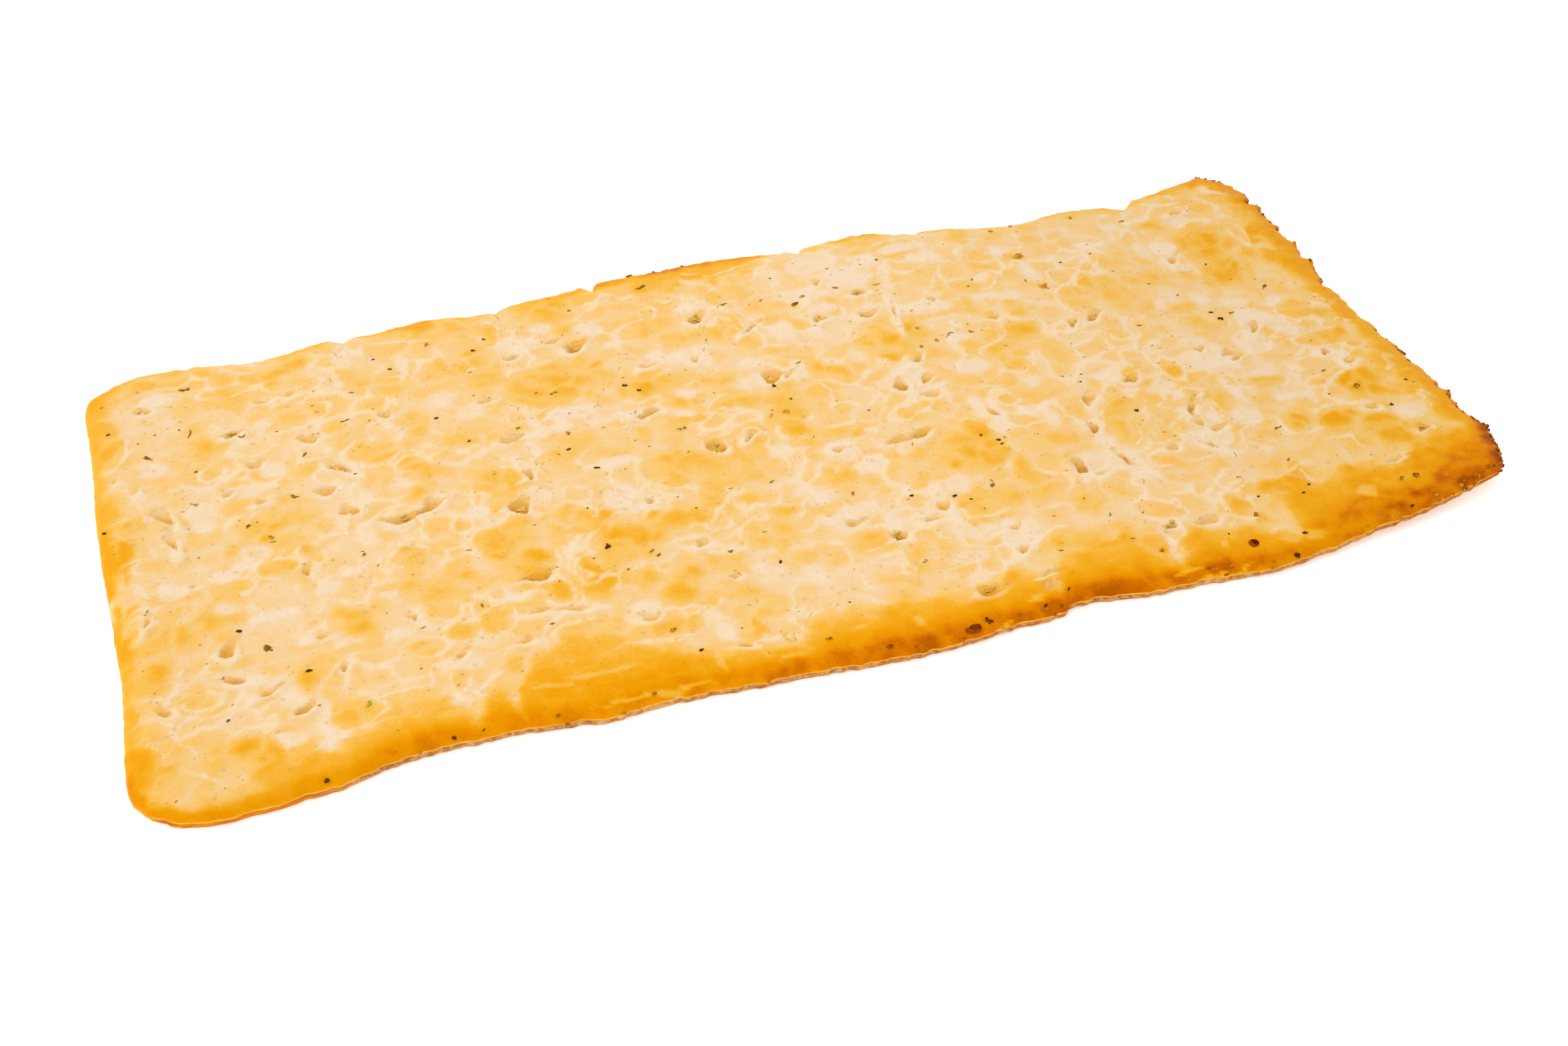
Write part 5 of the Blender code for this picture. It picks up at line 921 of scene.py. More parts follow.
# Pale ridges along the seams, soft and about a millimetre wide, less where browned
ridge = add(tree, "ShaderNodeMath", {0: wobble, 1: 0.50, 2: seam}, operation="MULTIPLY_ADD")
ridge = add(tree, "ShaderNodeMapRange", {"Value": ridge, "From Min": 0.22, "From Max": 0.74, "To Min": 0.74,
                                         "To Max": 0.0}, interpolation_type="SMOOTHSTEP")
pale = add(tree, "ShaderNodeMath", {0: ridge, 1: ridging}, operation="MULTIPLY")
colour = add(tree, "ShaderNodeMix", {0: pale, 6: colour, 7: "#DAC5A6"}, output=2, data_type="RGBA")
# Painted shade: faint pinkish patches about 1.5 mm wide in the palest dough, standing for the shade in small
# shallow dents
dent_shade = add(tree, "ShaderNodeMapRange", {"Value": dent_shade, "From Min": 0.52, "From Max": 0.70, "To Max": 0.5},
            interpolation_type="SMOOTHSTEP")
dent_shade = add(tree, "ShaderNodeMath", {0: dent_shade, 1: dent_shade_fade}, operation="MULTIPLY")
colour = add(tree, "ShaderNodeMix", {0: dent_shade, 6: colour, 7: "#D6B691"}, output=2, data_type="RGBA")
# Hairline cracks, a few millimetres long, and pinholes up to 0.6 mm wide, where the
# skin dried first: both show the tan crumb under it
hairline = add(tree, "ShaderNodeMath", {0: hairline, 1: 0.5}, operation="SUBTRACT")
hairline = add(tree, "ShaderNodeMath", {0: hairline}, operation="ABSOLUTE")
hairline = add(tree, "ShaderNodeMapRange", {"Value": hairline, "From Min": 0.0, "From Max": 0.014,
                                            "To Min": 0.3, "To Max": 0.0}, interpolation_type="SMOOTHSTEP")
here = add(tree, "ShaderNodeMapRange", {"Value": cracked, "From Min": 0.56, "From Max": 0.64},
           interpolation_type="SMOOTHSTEP")
hairline = add(tree, "ShaderNodeMath", {0: hairline, 1: here}, operation="MULTIPLY")
bent = add(tree, "ShaderNodeMath", {0: mottle, 1: 0.3}, operation="MULTIPLY")
pinhole = add(tree, "ShaderNodeTexVoronoi", {"Vector": place, "Scale": 1.0 / (3.8 * MM)}, output="Distance",
              voronoi_dimensions="2D")
chance = add(tree, "ShaderNodeSeparateColor", {"Color": pinhole.node.outputs["Color"]}, output="Blue")
chance = add(tree, "ShaderNodeMath", {0: chance, 1: 0.45}, operation="GREATER_THAN")
pinhole = add(tree, "ShaderNodeMath", {0: pinhole, 1: bent}, operation="ADD")
pinhole = add(tree, "ShaderNodeMapRange", {"Value": pinhole, "From Min": 0.15, "From Max": 0.24,
                                           "To Min": 0.5, "To Max": 0.0}, interpolation_type="SMOOTHSTEP")
pinhole = add(tree, "ShaderNodeMath", {0: pinhole, 1: chance}, operation="MULTIPLY")
nicks = add(tree, "ShaderNodeMath", {0: hairline, 1: pinhole}, operation="MAXIMUM")
nicks = add(tree, "ShaderNodeMath", {0: nicks, 1: cracking}, operation="MULTIPLY")
colour = add(tree, "ShaderNodeMix", {0: nicks, 6: colour, 7: "#C0925A"}, output=2, data_type="RGBA")
# Pits: ragged at the back, with a floor of ochre crumb whose painted shade is darkest
# under the steep front wall and pales toward the back, and a broken brown line where the
# crust tore
ragged = add(tree, "ShaderNodeMath", {0: ragged, 1: 0.5}, operation="SUBTRACT")
spread = add(tree, "ShaderNodeMath", {0: back, 1: 0.9, 2: 0.22}, operation="MULTIPLY_ADD")
torn = add(tree, "ShaderNodeMath", {0: ragged, 1: spread, 2: pit}, operation="MULTIPLY_ADD")
ochre_and_shade = add(tree, "ShaderNodeMath", {0: tone, 1: 0.50, 2: 0.32}, operation="MULTIPLY_ADD")
ochre_and_shade = add(tree, "ShaderNodeMath", {0: fibres, 1: 0.60, 2: ochre_and_shade}, operation="MULTIPLY_ADD")
# Painted shade: the floor darkens toward the pit's front wall, where it lies under the lip
ochre_and_shade = add(tree, "ShaderNodeMath", {0: back, 1: -0.46, 2: ochre_and_shade}, operation="MULTIPLY_ADD")
ochre_and_shade = add(tree, "ShaderNodeValToRGB", {"Fac": ochre_and_shade}, stops=(
    (0.15, "#DBBC96"), (0.35, "#DBB375"), (0.55, "#DAA84C"), (0.75, "#D3982A"), (1.0, "#B87E16")))
fade = add(tree, "ShaderNodeMapRange", {"Value": back, "From Min": 0.3, "To Min": 0.95, "To Max": 0.55})
floor_share = add(tree, "ShaderNodeMapRange", {"Value": torn, "From Min": -0.16, "From Max": 0.24,
                                               "To Max": fade}, interpolation_type="SMOOTHSTEP")
colour = add(tree, "ShaderNodeMix", {0: floor_share, 6: colour, 7: ochre_and_shade}, output=2, data_type="RGBA")
tear = add(tree, "ShaderNodeMath", {0: torn, 1: 0.02}, operation="SUBTRACT")
tear = add(tree, "ShaderNodeMath", {0: tear}, operation="ABSOLUTE")
tear = add(tree, "ShaderNodeMapRange", {"Value": tear, "From Min": 0.0, "From Max": 0.17, "To Min": 0.34,
                                        "To Max": 0.0}, interpolation_type="SMOOTHSTEP")
here = add(tree, "ShaderNodeMapRange", {"Value": wobble, "From Min": 0.47, "From Max": 0.60},
           interpolation_type="SMOOTHSTEP")
tear = add(tree, "ShaderNodeMath", {0: tear, 1: here}, operation="MULTIPLY")
here = add(tree, "ShaderNodeMapRange", {"Value": back, "From Min": 0.2, "From Max": 0.8, "To Min": 0.25,
                                        "To Max": 1.0})
tear = add(tree, "ShaderNodeMath", {0: tear, 1: here}, operation="MULTIPLY")
colour = add(tree, "ShaderNodeMix", {0: tear, 6: colour, 7: "#B07A30"}, output=2, data_type="RGBA")
# Dots of spice and browned starch, up to 0.3 mm wide, in a third of the cells of a
# pattern 2.6 mm wide
dot = add(tree, "ShaderNodeTexVoronoi", {"Vector": place, "Scale": 1.0 / (2.6 * MM)}, output="Distance",
          voronoi_dimensions="2D")
chance = add(tree, "ShaderNodeSeparateColor", {"Color": dot.node.outputs["Color"]}, output="Red")
tint = chance.node.outputs["Green"]
chance = add(tree, "ShaderNodeMath", {0: chance, 1: 0.68}, operation="GREATER_THAN")
dot = add(tree, "ShaderNodeMapRange", {"Value": dot, "From Min": 0.010, "From Max": 0.060, "To Min": 0.55,
                                       "To Max": 0.0}, interpolation_type="SMOOTHSTEP")
dot = add(tree, "ShaderNodeMath", {0: dot, 1: chance}, operation="MULTIPLY")
tint = add(tree, "ShaderNodeValToRGB", {"Fac": tint}, stops=(
    (0.0, "#6E5624"), (0.35, "#977428"), (0.7, "#B98426"), (1.0, "#CF9536")))
colour = add(tree, "ShaderNodeMix", {0: dot, 6: colour, 7: tint}, output=2, data_type="RGBA")
# Painted shade: the right end is darkened a shade all over, and the left end very slightly, standing in for
# light that falls off toward them
along = add(tree, "ShaderNodeSeparateXYZ", {"Vector": place}, output="X")
right_end_painted_shade = add(tree, "ShaderNodeMapRange", {"Value": along, "From Min": 8.0 * MM, "From Max": 72.0 * MM,
                                             "To Min": 0.0, "To Max": 0.085}, interpolation_type="SMOOTHSTEP")
left_end_painted_shade = add(tree, "ShaderNodeMapRange", {"Value": along, "From Min": -80.0 * MM, "From Max": -55.0 * MM,
                                            "To Min": 0.025, "To Max": 0.0}, interpolation_type="SMOOTHSTEP")
painted_shade_factor = add(tree, "ShaderNodeMath", {0: right_end_painted_shade, 1: left_end_painted_shade}, operation="ADD")
painted_shade_factor = add(tree, "ShaderNodeMath", {0: 1.0, 1: painted_shade_factor}, operation="SUBTRACT")
colour = add(tree, "ShaderNodeVectorMath", {0: colour, "Scale": painted_shade_factor}, operation="SCALE")
# The wall's bare crumb: tan, with brown streaks and pale grains, its browns deepened as painted shade under
# the overhanging lip
streak = add(tree, "ShaderNodeValToRGB", {"Fac": streak}, stops=(
    (0.3, "#8A5026"), (0.43, "#A66C36"), (0.52, "#BE8A52"), (0.64, "#CEA878")))
colour = add(tree, "ShaderNodeMix", {0: crumb, 6: colour, 7: streak}, output=2, data_type="RGBA")
# Relief too fine for the mesh: the crust's small blisters, the torn crumb of the
# pits, and the hairline cracks and pinholes, which are sunk
height = add(tree, "ShaderNodeMath", {0: blotch, 1: 0.9}, operation="MULTIPLY")
height = add(tree, "ShaderNodeMath", {0: mottle, 1: 0.5, 2: height}, operation="MULTIPLY_ADD")
rough = add(tree, "ShaderNodeMath", {0: fibres, 1: floor_share}, operation="MULTIPLY")
height = add(tree, "ShaderNodeMath", {0: rough, 1: 0.9, 2: height}, operation="MULTIPLY_ADD")
height = add(tree, "ShaderNodeMath", {0: nicks, 1: -1.2, 2: height}, operation="MULTIPLY_ADD")
bump = add(tree, "ShaderNodeBump", {"Strength": 0.5, "Distance": 0.12 * MM, "Height": height})
roughness = add(tree, "ShaderNodeMapRange", {"Value": amount, "From Min": 0.1, "From Max": 0.55,
                                             "To Min": 0.62, "To Max": 0.44})
shader = add(tree, "ShaderNodeBsdfPrincipled", {
    "Base Color": colour, "Normal": bump, "Roughness": roughness, "Metallic": 0.0, "IOR": 1.45,
    "Specular IOR Level": 0.03, "Specular Tint": "#FFD070", "Subsurface Weight": 0.25,
    "Subsurface Radius": (1.0, 0.55, 0.25), "Subsurface Scale": 0.9 * MM})
add(tree, "ShaderNodeOutputMaterial", {"Surface": shader})
sheet.data.materials.append(dough)
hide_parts("flatbread")
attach(sheet, "root")


# ---------------------------------------------------------------------------
# Herbs: flakes of dried leaf, 0.7 to 2.2 mm long, and a few thin bits of stalk. They
# were kneaded into the dough, so each lies half sunk in the crust. One mesh of
# closed, flat, ragged lumps for all the flakes, and one of bent rods for the stalks.
LEAF_THICKNESS = 0.16
STALK_RADIUS = 0.075
STALK_SHADE = 0.15
# Flakes: (x, y, length, turn in degrees, shade from 0, brown, to 1, green)
HERBS = on_crust((
    (-69.0, 9.9, 1.5, -50, 0.75), (-7.1, 38.5, 2.0, 10, 0.1), (-67.5, 34.0, 1.9, 15, 0.3),
    (-73.2, 20.8, 1.8, -55, 0.2), (-57.8, 7.7, 1.6, -10, 0.3), (-55.4, 15.5, 1.2, 30, 0.2),
    (-68.0, 16.3, 1.0, 60, 0.35), (-63.9, 3.5, 1.3, 20, 0.2), (2.0, 31.0, 1.4, 20, 0.2),
    (22.7, 29.2, 1.2, -15, 0.5), (7.0, 30.3, 0.7, 30, 0.4), (-24.1, 18.2, 1.2, 10, 0.5),
    (-11.1, 6.0, 1.5, 5, 0.35), (-20.6, -16.5, 1.0, 35, 0.2), (-56.1, -30.4, 1.6, 60, 0.9),
    (-64.5, -18.6, 2.2, -55, 0.2), (-12.7, -18.5, 1.0, 10, 0.3), (20.1, -16.3, 1.8, 85, 0.25),
    (4.0, -12.9, 1.1, 55, 0.3), (71.5, 11.8, 1.9, 50, 0.2), (64.5, 7.8, 1.2, 15, 0.3),
    (23.0, 13.2, 1.2, 70, 0.5), (27.6, 14.8, 1.2, 20, 0.1), (30.4, 14.4, 1.0, -20, 0.2),
    (77.0, -32.3, 1.8, 25, 0.2), (57.5, -17.2, 1.6, 30, 0.2), (71.0, -12.6, 1.3, 35, 0.15),
    (69.0, -8.1, 1.0, 0, 0.2), (66.0, -31.2, 1.2, 40, 0.3), (55.4, -23.4, 0.9, 60, 0.3),
    (7.3, -27.3, 0.9, 40, 0.55), (22.5, -30.4, 0.9, -30, 0.4), (-7.4, -36.2, 1.1, 15, 0.3),
    (44.0, 12.2, 1.1, 35, 0.95), (53.0, 27.0, 0.9, 20, 0.5), (35.4, 26.2, 0.8, 75, 0.4),
    (-30.0, 12.4, 0.9, 25, 0.4), (-47.9, 26.6, 0.8, -10, 0.45), (-35.0, -24.2, 0.9, 10, 0.4),
    (11.8, 2.6, 0.9, 60, 0.4), (37.2, 1.2, 0.8, -40, 0.35), (60.9, 33.5, 0.9, 10, 0.4),
    (-52.0, -5.5, 0.8, 45, 0.3), (-17.5, 36.2, 0.8, 20, 0.3), (-41.5, -18.7, 0.8, 80, 0.35),
    (48.2, -24.6, 0.8, 15, 0.4), (-4.2, -7.6, 0.9, 30, 0.5), (17.9, 35.0, 0.7, -25, 0.35),
))
# Stalks: (x, y, length, turn in degrees, bend in radians)
STALKS = on_crust((
    (-68.1, 24.2, 1.7, 70, 0.5), (-61.8, 21.8, 1.1, -20, 1.6), (-21.3, -15.6, 0.9, 40, 0.3),
    (6.8, 14.9, 0.8, 15, 0.6), (41.9, 23.4, 0.7, 80, 0.4), (51.5, 8.8, 0.7, -30, 0.5),
    (-49.8, 20.9, 1.2, 10, 0.4), (30.6, -26.2, 0.7, 60, 0.5), (59.6, 13.9, 0.6, 35, 0.8),
))


def top_at(x, y):
    """Height of the crust at each place, with its relief."""
    inward = distance_to(outline[::2], x, y)
    relief = crust(x, y, inward)[5]
    return form_height(x, y, inward) + relief * np.clip(inward / ROUNDING, 0.0, 1.0)


def lumps(centres, lengths, widths, heights, turns, seed, corners=7, ragged=1.0):
    """Closed lumps: a bottom point, two rings of corners and a top point each,
    stretched to their lengths along their turns. The corners are jittered round the
    rings, and stand in and out from a smooth ellipse by the given raggedness."""
    rng = np.random.default_rng(seed)
    count = len(centres)
    smooth_radius = 0.88
    jitter = rng.uniform(-0.28, 0.28, (count, 2, corners))
    angle = (np.arange(corners)[None, None] + jitter) * 2.0 * np.pi / corners
    radius = rng.uniform(0.62, 1.0, (count, 1, corners)) * rng.uniform(0.85, 1.05, (count, 2, corners))
    radius = smooth_radius + (radius - smooth_radius) * np.broadcast_to(ragged, count)[:, None, None]
    rings = np.stack([radius * np.cos(angle), radius * np.sin(angle),
                      np.broadcast_to(np.array([-0.45, 0.45])[None, :, None], radius.shape)
                      * rng.uniform(0.6, 1.2, radius.shape)], -1).reshape(count, 2 * corners, 3)
    tips = rng.uniform(-0.25, 0.25, (count, 2, 3))
    tips[:, 0, 2], tips[:, 1, 2] = -1.0, 1.0
    local = np.concatenate([tips[:, :1], rings, tips[:, 1:]], 1)
    local *= 0.5 * np.stack([lengths, widths, heights], -1)[:, None]
    cos, sin = np.cos(turns)[:, None], np.sin(turns)[:, None]
    points = np.stack([local[..., 0] * cos - local[..., 1] * sin,
                       local[..., 0] * sin + local[..., 1] * cos, local[..., 2]], -1) + centres[:, None]
    k = np.arange(corners)
    after = (k + 1) % corners
    last = 2 * corners + 1
    template = np.concatenate([
        np.stack([0 * k, 1 + after, 1 + k], -1),
        np.stack([1 + k, 1 + after, 1 + corners + after], -1),
        np.stack([1 + k, 1 + corners + after, 1 + corners + k], -1),
        np.stack([0 * k + last, 1 + corners + k, 1 + corners + after], -1)])
    faces = (template[None] + (last + 1) * np.arange(count)[:, None, None]).reshape(-1, 3)
    return points.reshape(-1, 3), faces.tolist()


def tinted(name, stops, roughness, shine=0.03):
    """A material whose colour goes through the stops with the points' shade."""
    material = bpy.data.materials.new(name)
    material.use_nodes = True
    tree = material.node_tree
    tree.nodes.clear()
    shade = add(tree, "ShaderNodeAttribute", output="Fac", attribute_name="shade")
    colour = add(tree, "ShaderNodeValToRGB", {"Fac": shade}, stops=stops)
    shader = add(tree, "ShaderNodeBsdfPrincipled", {"Base Color": colour, "Roughness": roughness,
                                                    "Specular IOR Level": shine})
    add(tree, "ShaderNodeOutputMaterial", {"Surface": shader})
    return material


def broken(x, y, length, width, turn, shade, parts, seed):
    """Each bit broken into parts: smaller ones strewn along its length, a little
    off its line, turned from it, and lighter or darker. Gives back the same six."""
    rng = np.random.default_rng(seed)
    whole = (x, y, length, width, turn, shade)
    x, y, length, width, turn, shade = (np.repeat(numbers, parts) for numbers in whole)
    along = rng.uniform(-0.30, 0.30, len(x)) * length
    off = rng.uniform(-0.4, 0.4, len(x)) * width
    return (x + along * np.cos(turn) - off * np.sin(turn), y + along * np.sin(turn) + off * np.cos(turn),
            length * rng.uniform(0.25, 0.65, len(x)), width * rng.uniform(0.35, 0.8, len(x)),
            turn + rng.uniform(-0.5, 0.5, len(x)), shade + rng.uniform(-0.22, 0.22, len(x)))


def lay(name, centres, lengths, widths, heights, turns, shades, seed, material, corners=7, ragged=1.0):
    """One piece made of lumps, with a shade for each, that rides on the sheet."""
    points, faces = lumps(centres, lengths, widths, heights, turns, seed, corners, ragged)
    piece = put_in_scene(name, in_metres(*points.T), faces)
    jitter = np.random.default_rng(seed + 1).uniform(-0.10, 0.10, len(points))
    store(piece, "shade", np.repeat(shades, len(points) // len(centres)) + jitter)
    piece.data.materials.append(material)
    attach(piece, "root")


# Dried leaf: dull, brown to olive, and yellow-green where it is freshest
dried_leaf = tinted("dried_leaf", ((0.0, "#755010"), (0.25, "#8A5F0E"), (0.5, "#9A761A"), (0.8, "#93902A"),
                                   (1.0, "#98A82E")), 0.8)
rng = np.random.default_rng(81)
x, y, length, turn, shade = HERBS.T
width = length * rng.uniform(0.25, 0.45, len(x))
x, y, length, width, turn, shade = broken(x, y, length, width, np.radians(turn), shade, parts=5, seed=89)
lay("herb_flakes", np.column_stack([x, y, top_at(x, y) + 0.01]), length, width,
    np.full(len(x), LEAF_THICKNESS), turn, shade, seed=82, material=dried_leaf, corners=6)

# Each stalk is a five-sided rod through nine places along an arc, thin at its ends.
# A place's heading is the stalk's turn, plus its bend times the way along it
THINNING = np.array([0.35, 0.8, 1.0, 1.0, 1.0, 1.0, 1.0, 0.8, 0.35])
stations, corners = len(THINNING), 5
x, y, length, turn, bend = STALKS.T
heading = np.radians(turn)[:, None] + bend[:, None] * np.linspace(-1.0, 1.0, stations)
middle = heading[:, stations // 2, None]
step = length[:, None] / (stations - 1)
path_x = x[:, None] + np.cumsum(np.cos(heading), 1) * step - length[:, None] * 0.5 * np.cos(middle)
path_y = y[:, None] + np.cumsum(np.sin(heading), 1) * step - length[:, None] * 0.5 * np.sin(middle)
path_x, path_y, heading = path_x.ravel(), path_y.ravel(), heading.ravel()
centres = np.column_stack([path_x, path_y, top_at(path_x, path_y) + 0.03])
around = np.linspace(0.0, 2.0 * np.pi, corners, endpoint=False)
side = np.column_stack([-np.sin(heading), np.cos(heading), np.zeros(heading.size)])
rod = (np.cos(around)[None, :, None] * side[:, None]
       + np.sin(around)[None, :, None] * np.array([0.0, 0.0, 1.0]))
rod = centres[:, None] + STALK_RADIUS * np.tile(THINNING, len(x))[:, None, None] * rod
rod = rod.reshape(-1, 3)
k = np.arange(corners)
after = (k + 1) % corners
stalk_start = np.arange(len(x))[:, None] * stations * corners
station_start = (stalk_start + np.arange(stations - 1) * corners).reshape(-1, 1)
rod_sides = np.stack([station_start + k, station_start + after,
                      station_start + corners + after, station_start + corners + k], -1)
rod_ends = np.concatenate([stalk_start + k[::-1], stalk_start + (stations - 1) * corners + k])
stalks = put_in_scene("herb_stalks", in_metres(*rod.T), rod_sides.reshape(-1, 4).tolist() + rod_ends.tolist())
store(stalks, "shade", np.full(len(rod), STALK_SHADE))
stalks.data.materials.append(dried_leaf)
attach(stalks, "root")


# ---------------------------------------------------------------------------
# Black pepper: cracked grains half a millimetre to 1.2 mm wide, dark brown, and
# lighter where they broke, pressed into the crust with chips of them. One mesh of
# closed lumps.
# (x, y, size)
PEPPER = on_crust((
    (-79.4, 7.7, 0.9), (-77.2, 27.2, 0.8), (-74.0, 24.2, 0.5), (-71.9, 25.4, 0.5), (-69.0, 25.5, 0.5),
    (-43.9, 33.2, 0.6), (-42.3, 30.2, 0.8), (-31.6, 30.9, 0.9), (-29.6, 33.1, 0.7), (-15.2, 17.0, 0.9),
    (-13.9, 15.3, 0.7), (-36.2, 11.6, 0.7), (-39.0, 17.8, 0.9), (-25.2, 6.2, 1.0), (-23.0, 1.6, 0.7),
    (25.1, 35.1, 0.6), (2.3, 10.8, 0.8), (3.4, 7.6, 0.6), (62.3, 6.9, 1.1), (61.9, 8.6, 1.0),
    (48.4, 26.3, 0.7), (66.8, 19.5, 0.7), (-67.2, -14.5, 0.9), (-61.1, -23.3, 1.0), (-25.7, -13.3, 1.1),
    (-26.1, -5.7, 0.5), (-24.6, -17.9, 0.5), (-14.1, -9.6, 0.5), (-8.0, -22.0, 0.8), (-20.9, -33.6, 0.8),
    (10.3, -15.6, 0.9), (15.1, -17.2, 0.9), (16.6, -18.5, 0.6), (24.3, -8.7, 0.9), (24.3, -9.6, 0.6),
    (22.6, -7.2, 0.7), (10.2, -39.0, 1.2), (17.0, -38.6, 0.8), (20.5, -36.9, 0.7), (42.8, -8.4, 0.9),
    (73.1, -17.3, 0.8), (77.6, -13.3, 0.8), (67.0, -12.9, 0.6), (55.1, -28.7, 0.7), (53.8, -29.9, 0.8),
    (48.5, -28.8, 0.6), (50.2, -36.5, 0.9), (47.5, -39.6, 1.2), (64.3, -36.3, 0.8), (41.9, -33.9, 0.5),
    (-48.7, -38.0, 0.9), (-62.0, -40.0, 1.0), (-50.3, 9.6, 0.5), (34.2, 24.6, 0.5), (-57.9, 21.3, 0.5),
    (9.9, 35.1, 0.5), (57.3, 17.5, 0.5), (38.9, -0.6, 0.6), (-3.1, -31.1, 0.5), (-70.2, -28.1, 0.6),
))
pepper = tinted("cracked_pepper", ((0.0, "#402406"), (0.5, "#643E10"), (1.0, "#9A6A24")), 0.7)
x, y, size = PEPPER.T
width = size * rng.uniform(0.5, 0.8, len(x))
turn = rng.uniform(-0.5, 0.9, len(x))
shade = rng.uniform(0.05, 0.6, len(x))
whole = (x, y, size * 0.85, size * 0.5, turn, 0.5 * shade)
chips = broken(x, y, size, width, turn, shade, parts=3, seed=90)
x, y, length, width, turn, shade = (np.concatenate(pair) for pair in zip(whole, chips))
lay("cracked_pepper", np.column_stack([x, y, top_at(x, y) - 0.02]), length, width, width * 0.7,
    turn, shade, seed=83, material=pepper, corners=6)


# ---------------------------------------------------------------------------
# Crumbs toasted brown, and dark red-brown blisters where the dough scorched. They
# baked in the crust. One mesh of low closed lumps.
# (x, y, length, width, shade from 0, golden, to 1, scorched)
TOASTED_CRUMBS = on_crust((
    (43.2, 29.2, 1.8, 1.2, 0.32), (43.6, 21.3, 1.5, 1.0, 0.30), (42.6, 36.7, 0.8, 0.6, 0.38),
    (45.7, 37.3, 0.7, 0.5, 0.32), (10.9, 27.9, 1.1, 0.7, 0.65), (17.3, 30.2, 0.8, 0.5, 0.4),
    (12.4, 29.5, 0.8, 0.6, 0.3), (2.0, 5.2, 1.1, 0.8, 0.3), (25.3, 14.0, 0.6, 0.5, 0.35),
    (24.0, 17.3, 0.6, 0.5, 0.3), (68.0, -31.2, 1.3, 0.8, 0.6), (46.4, -31.9, 0.9, 0.7, 0.5),
    (43.8, -36.3, 1.4, 1.5, 1.0), (8.0, -39.5, 2.3, 1.8, 0.96), (-1.6, -39.4, 0.9, 0.6, 0.85),
    (33.3, -34.2, 0.6, 0.6, 0.5), (-61.5, 0.6, 0.7, 0.5, 0.3), (-22.8, -29.4, 0.7, 0.5, 0.35),
    (-36.9, 34.3, 0.6, 0.4, 0.4), (54.6, 36.7, 0.7, 0.5, 0.35), (-24.4, 9.5, 0.6, 0.5, 0.4),
))
toasted = tinted("toasted_crumb", ((0.0, "#CF9C42"), (0.35, "#BD7C18"), (0.6, "#93500E"), (0.76, "#823A08"),
                                   (0.9, "#641E02"), (1.0, "#4C1402")), 0.7, 0.0)
BLISTER_SHADE = 0.8                    # from this shade up, it is a blister
CRUMB_HEIGHT, BLISTER_HEIGHT = 0.26, 0.40
BLISTER_RAGGED = 0.3
is_blister = TOASTED_CRUMBS[:, 4] >= BLISTER_SHADE
x, y, length, width, shade = TOASTED_CRUMBS[~is_blister].T
bits = broken(x, y, length * 1.2, width * 1.2, rng.uniform(-0.4, 0.4, len(x)), shade, parts=4, seed=91)
whole = (x, y, length * 0.8, width * 0.8, rng.uniform(-0.4, 0.4, len(x)), shade)
# A blister is a low, almost round swelling, with a darker one on it, off its middle
x, y, length, width, shade = TOASTED_CRUMBS[is_blister].T
blisters = len(x)
swelling = (x, y, length, width, rng.uniform(-0.2, 0.2, blisters), shade - 0.22)
crown = (x + 0.12 * length, y + 0.06 * width, length * 0.70, width * 0.72,
         rng.uniform(-0.2, 0.2, blisters), shade - 0.08)
x, y, length, width, turn, shade = (np.concatenate(group) for group in zip(whole, bits, swelling, crown))
height = np.full(len(x), CRUMB_HEIGHT)
height[-blisters:] = BLISTER_HEIGHT
ragged = np.ones(len(x))
ragged[-2 * blisters:] = BLISTER_RAGGED
lay("toasted_crumbs", np.column_stack([x, y, top_at(x, y) + 0.02]), length, width, height,
    turn, np.clip(shade, 0.0, 1.0), seed=84, material=toasted, corners=12, ragged=ragged)


# ---------------------------------------------------------------------------
# Cauliflower: crumbs of it, pale yellow to olive, that show on the floors of the
# pits and here and there in the crust. One mesh of low closed lumps.
BIT_HEIGHT = 0.2
# (x, y, length, width, turn in degrees, shade from 0, cream, to 1, olive)
CAULIFLOWER = on_crust((
    (-72.8, 31.0, 2.0, 0.9, 5, 0.35), (-69.6, 30.9, 1.0, 0.7, 0, 0.3), (-63.0, 22.6, 2.2, 0.9, 10, 0.7),
    (-2.2, 29.2, 1.9, 1.5, 35, 0.9), (20.0, 28.2, 1.8, 1.1, 10, 0.95), (22.3, 27.7, 0.8, 0.6, 0, 0.6),
    (13.0, 23.9, 1.2, 1.0, 40, 0.8), (-8.3, 1.4, 1.9, 1.5, 10, 0.9), (6.4, -21.8, 1.4, 1.2, 10, 1.0),
    (-11.2, -34.4, 1.9, 1.6, 5, 0.3), (36.4, -30.2, 1.3, 1.2, 0, 0.9), (74.2, -22.8, 1.2, 1.5, 0, 0.8),
    (45.0, -1.9, 1.5, 0.9, 30, 0.7), (50.6, -8.4, 2.2, 0.8, 35, 0.7), (65.7, 4.1, 1.8, 0.8, 45, 0.5),
    (-46.4, -0.1, 1.6, 0.7, 8, 0.55), (-42.8, 1.2, 1.2, 0.6, 28, 0.5), (-18.6, 28.0, 2.4, 0.9, 18, 0.6),
    (-33.3, -2.6, 1.7, 1.4, 20, 0.65), (2.7, 13.3, 1.7, 1.4, 0, 0.5), (12.3, -34.0, 2.6, 0.7, 10, 0.75),
    (-58.4, 28.2, 1.1, 0.6, 0, 0.4), (-52.3, 12.3, 2.6, 0.9, -55, 0.4), (47.2, 13.1, 1.7, 0.6, 35, 0.4),
))
cauliflower = tinted("baked_cauliflower", ((0.0, "#DEC79B"), (0.4, "#DDB86A"), (0.7, "#D2A644"),
                                           (1.0, "#C2A43C")), 0.7)
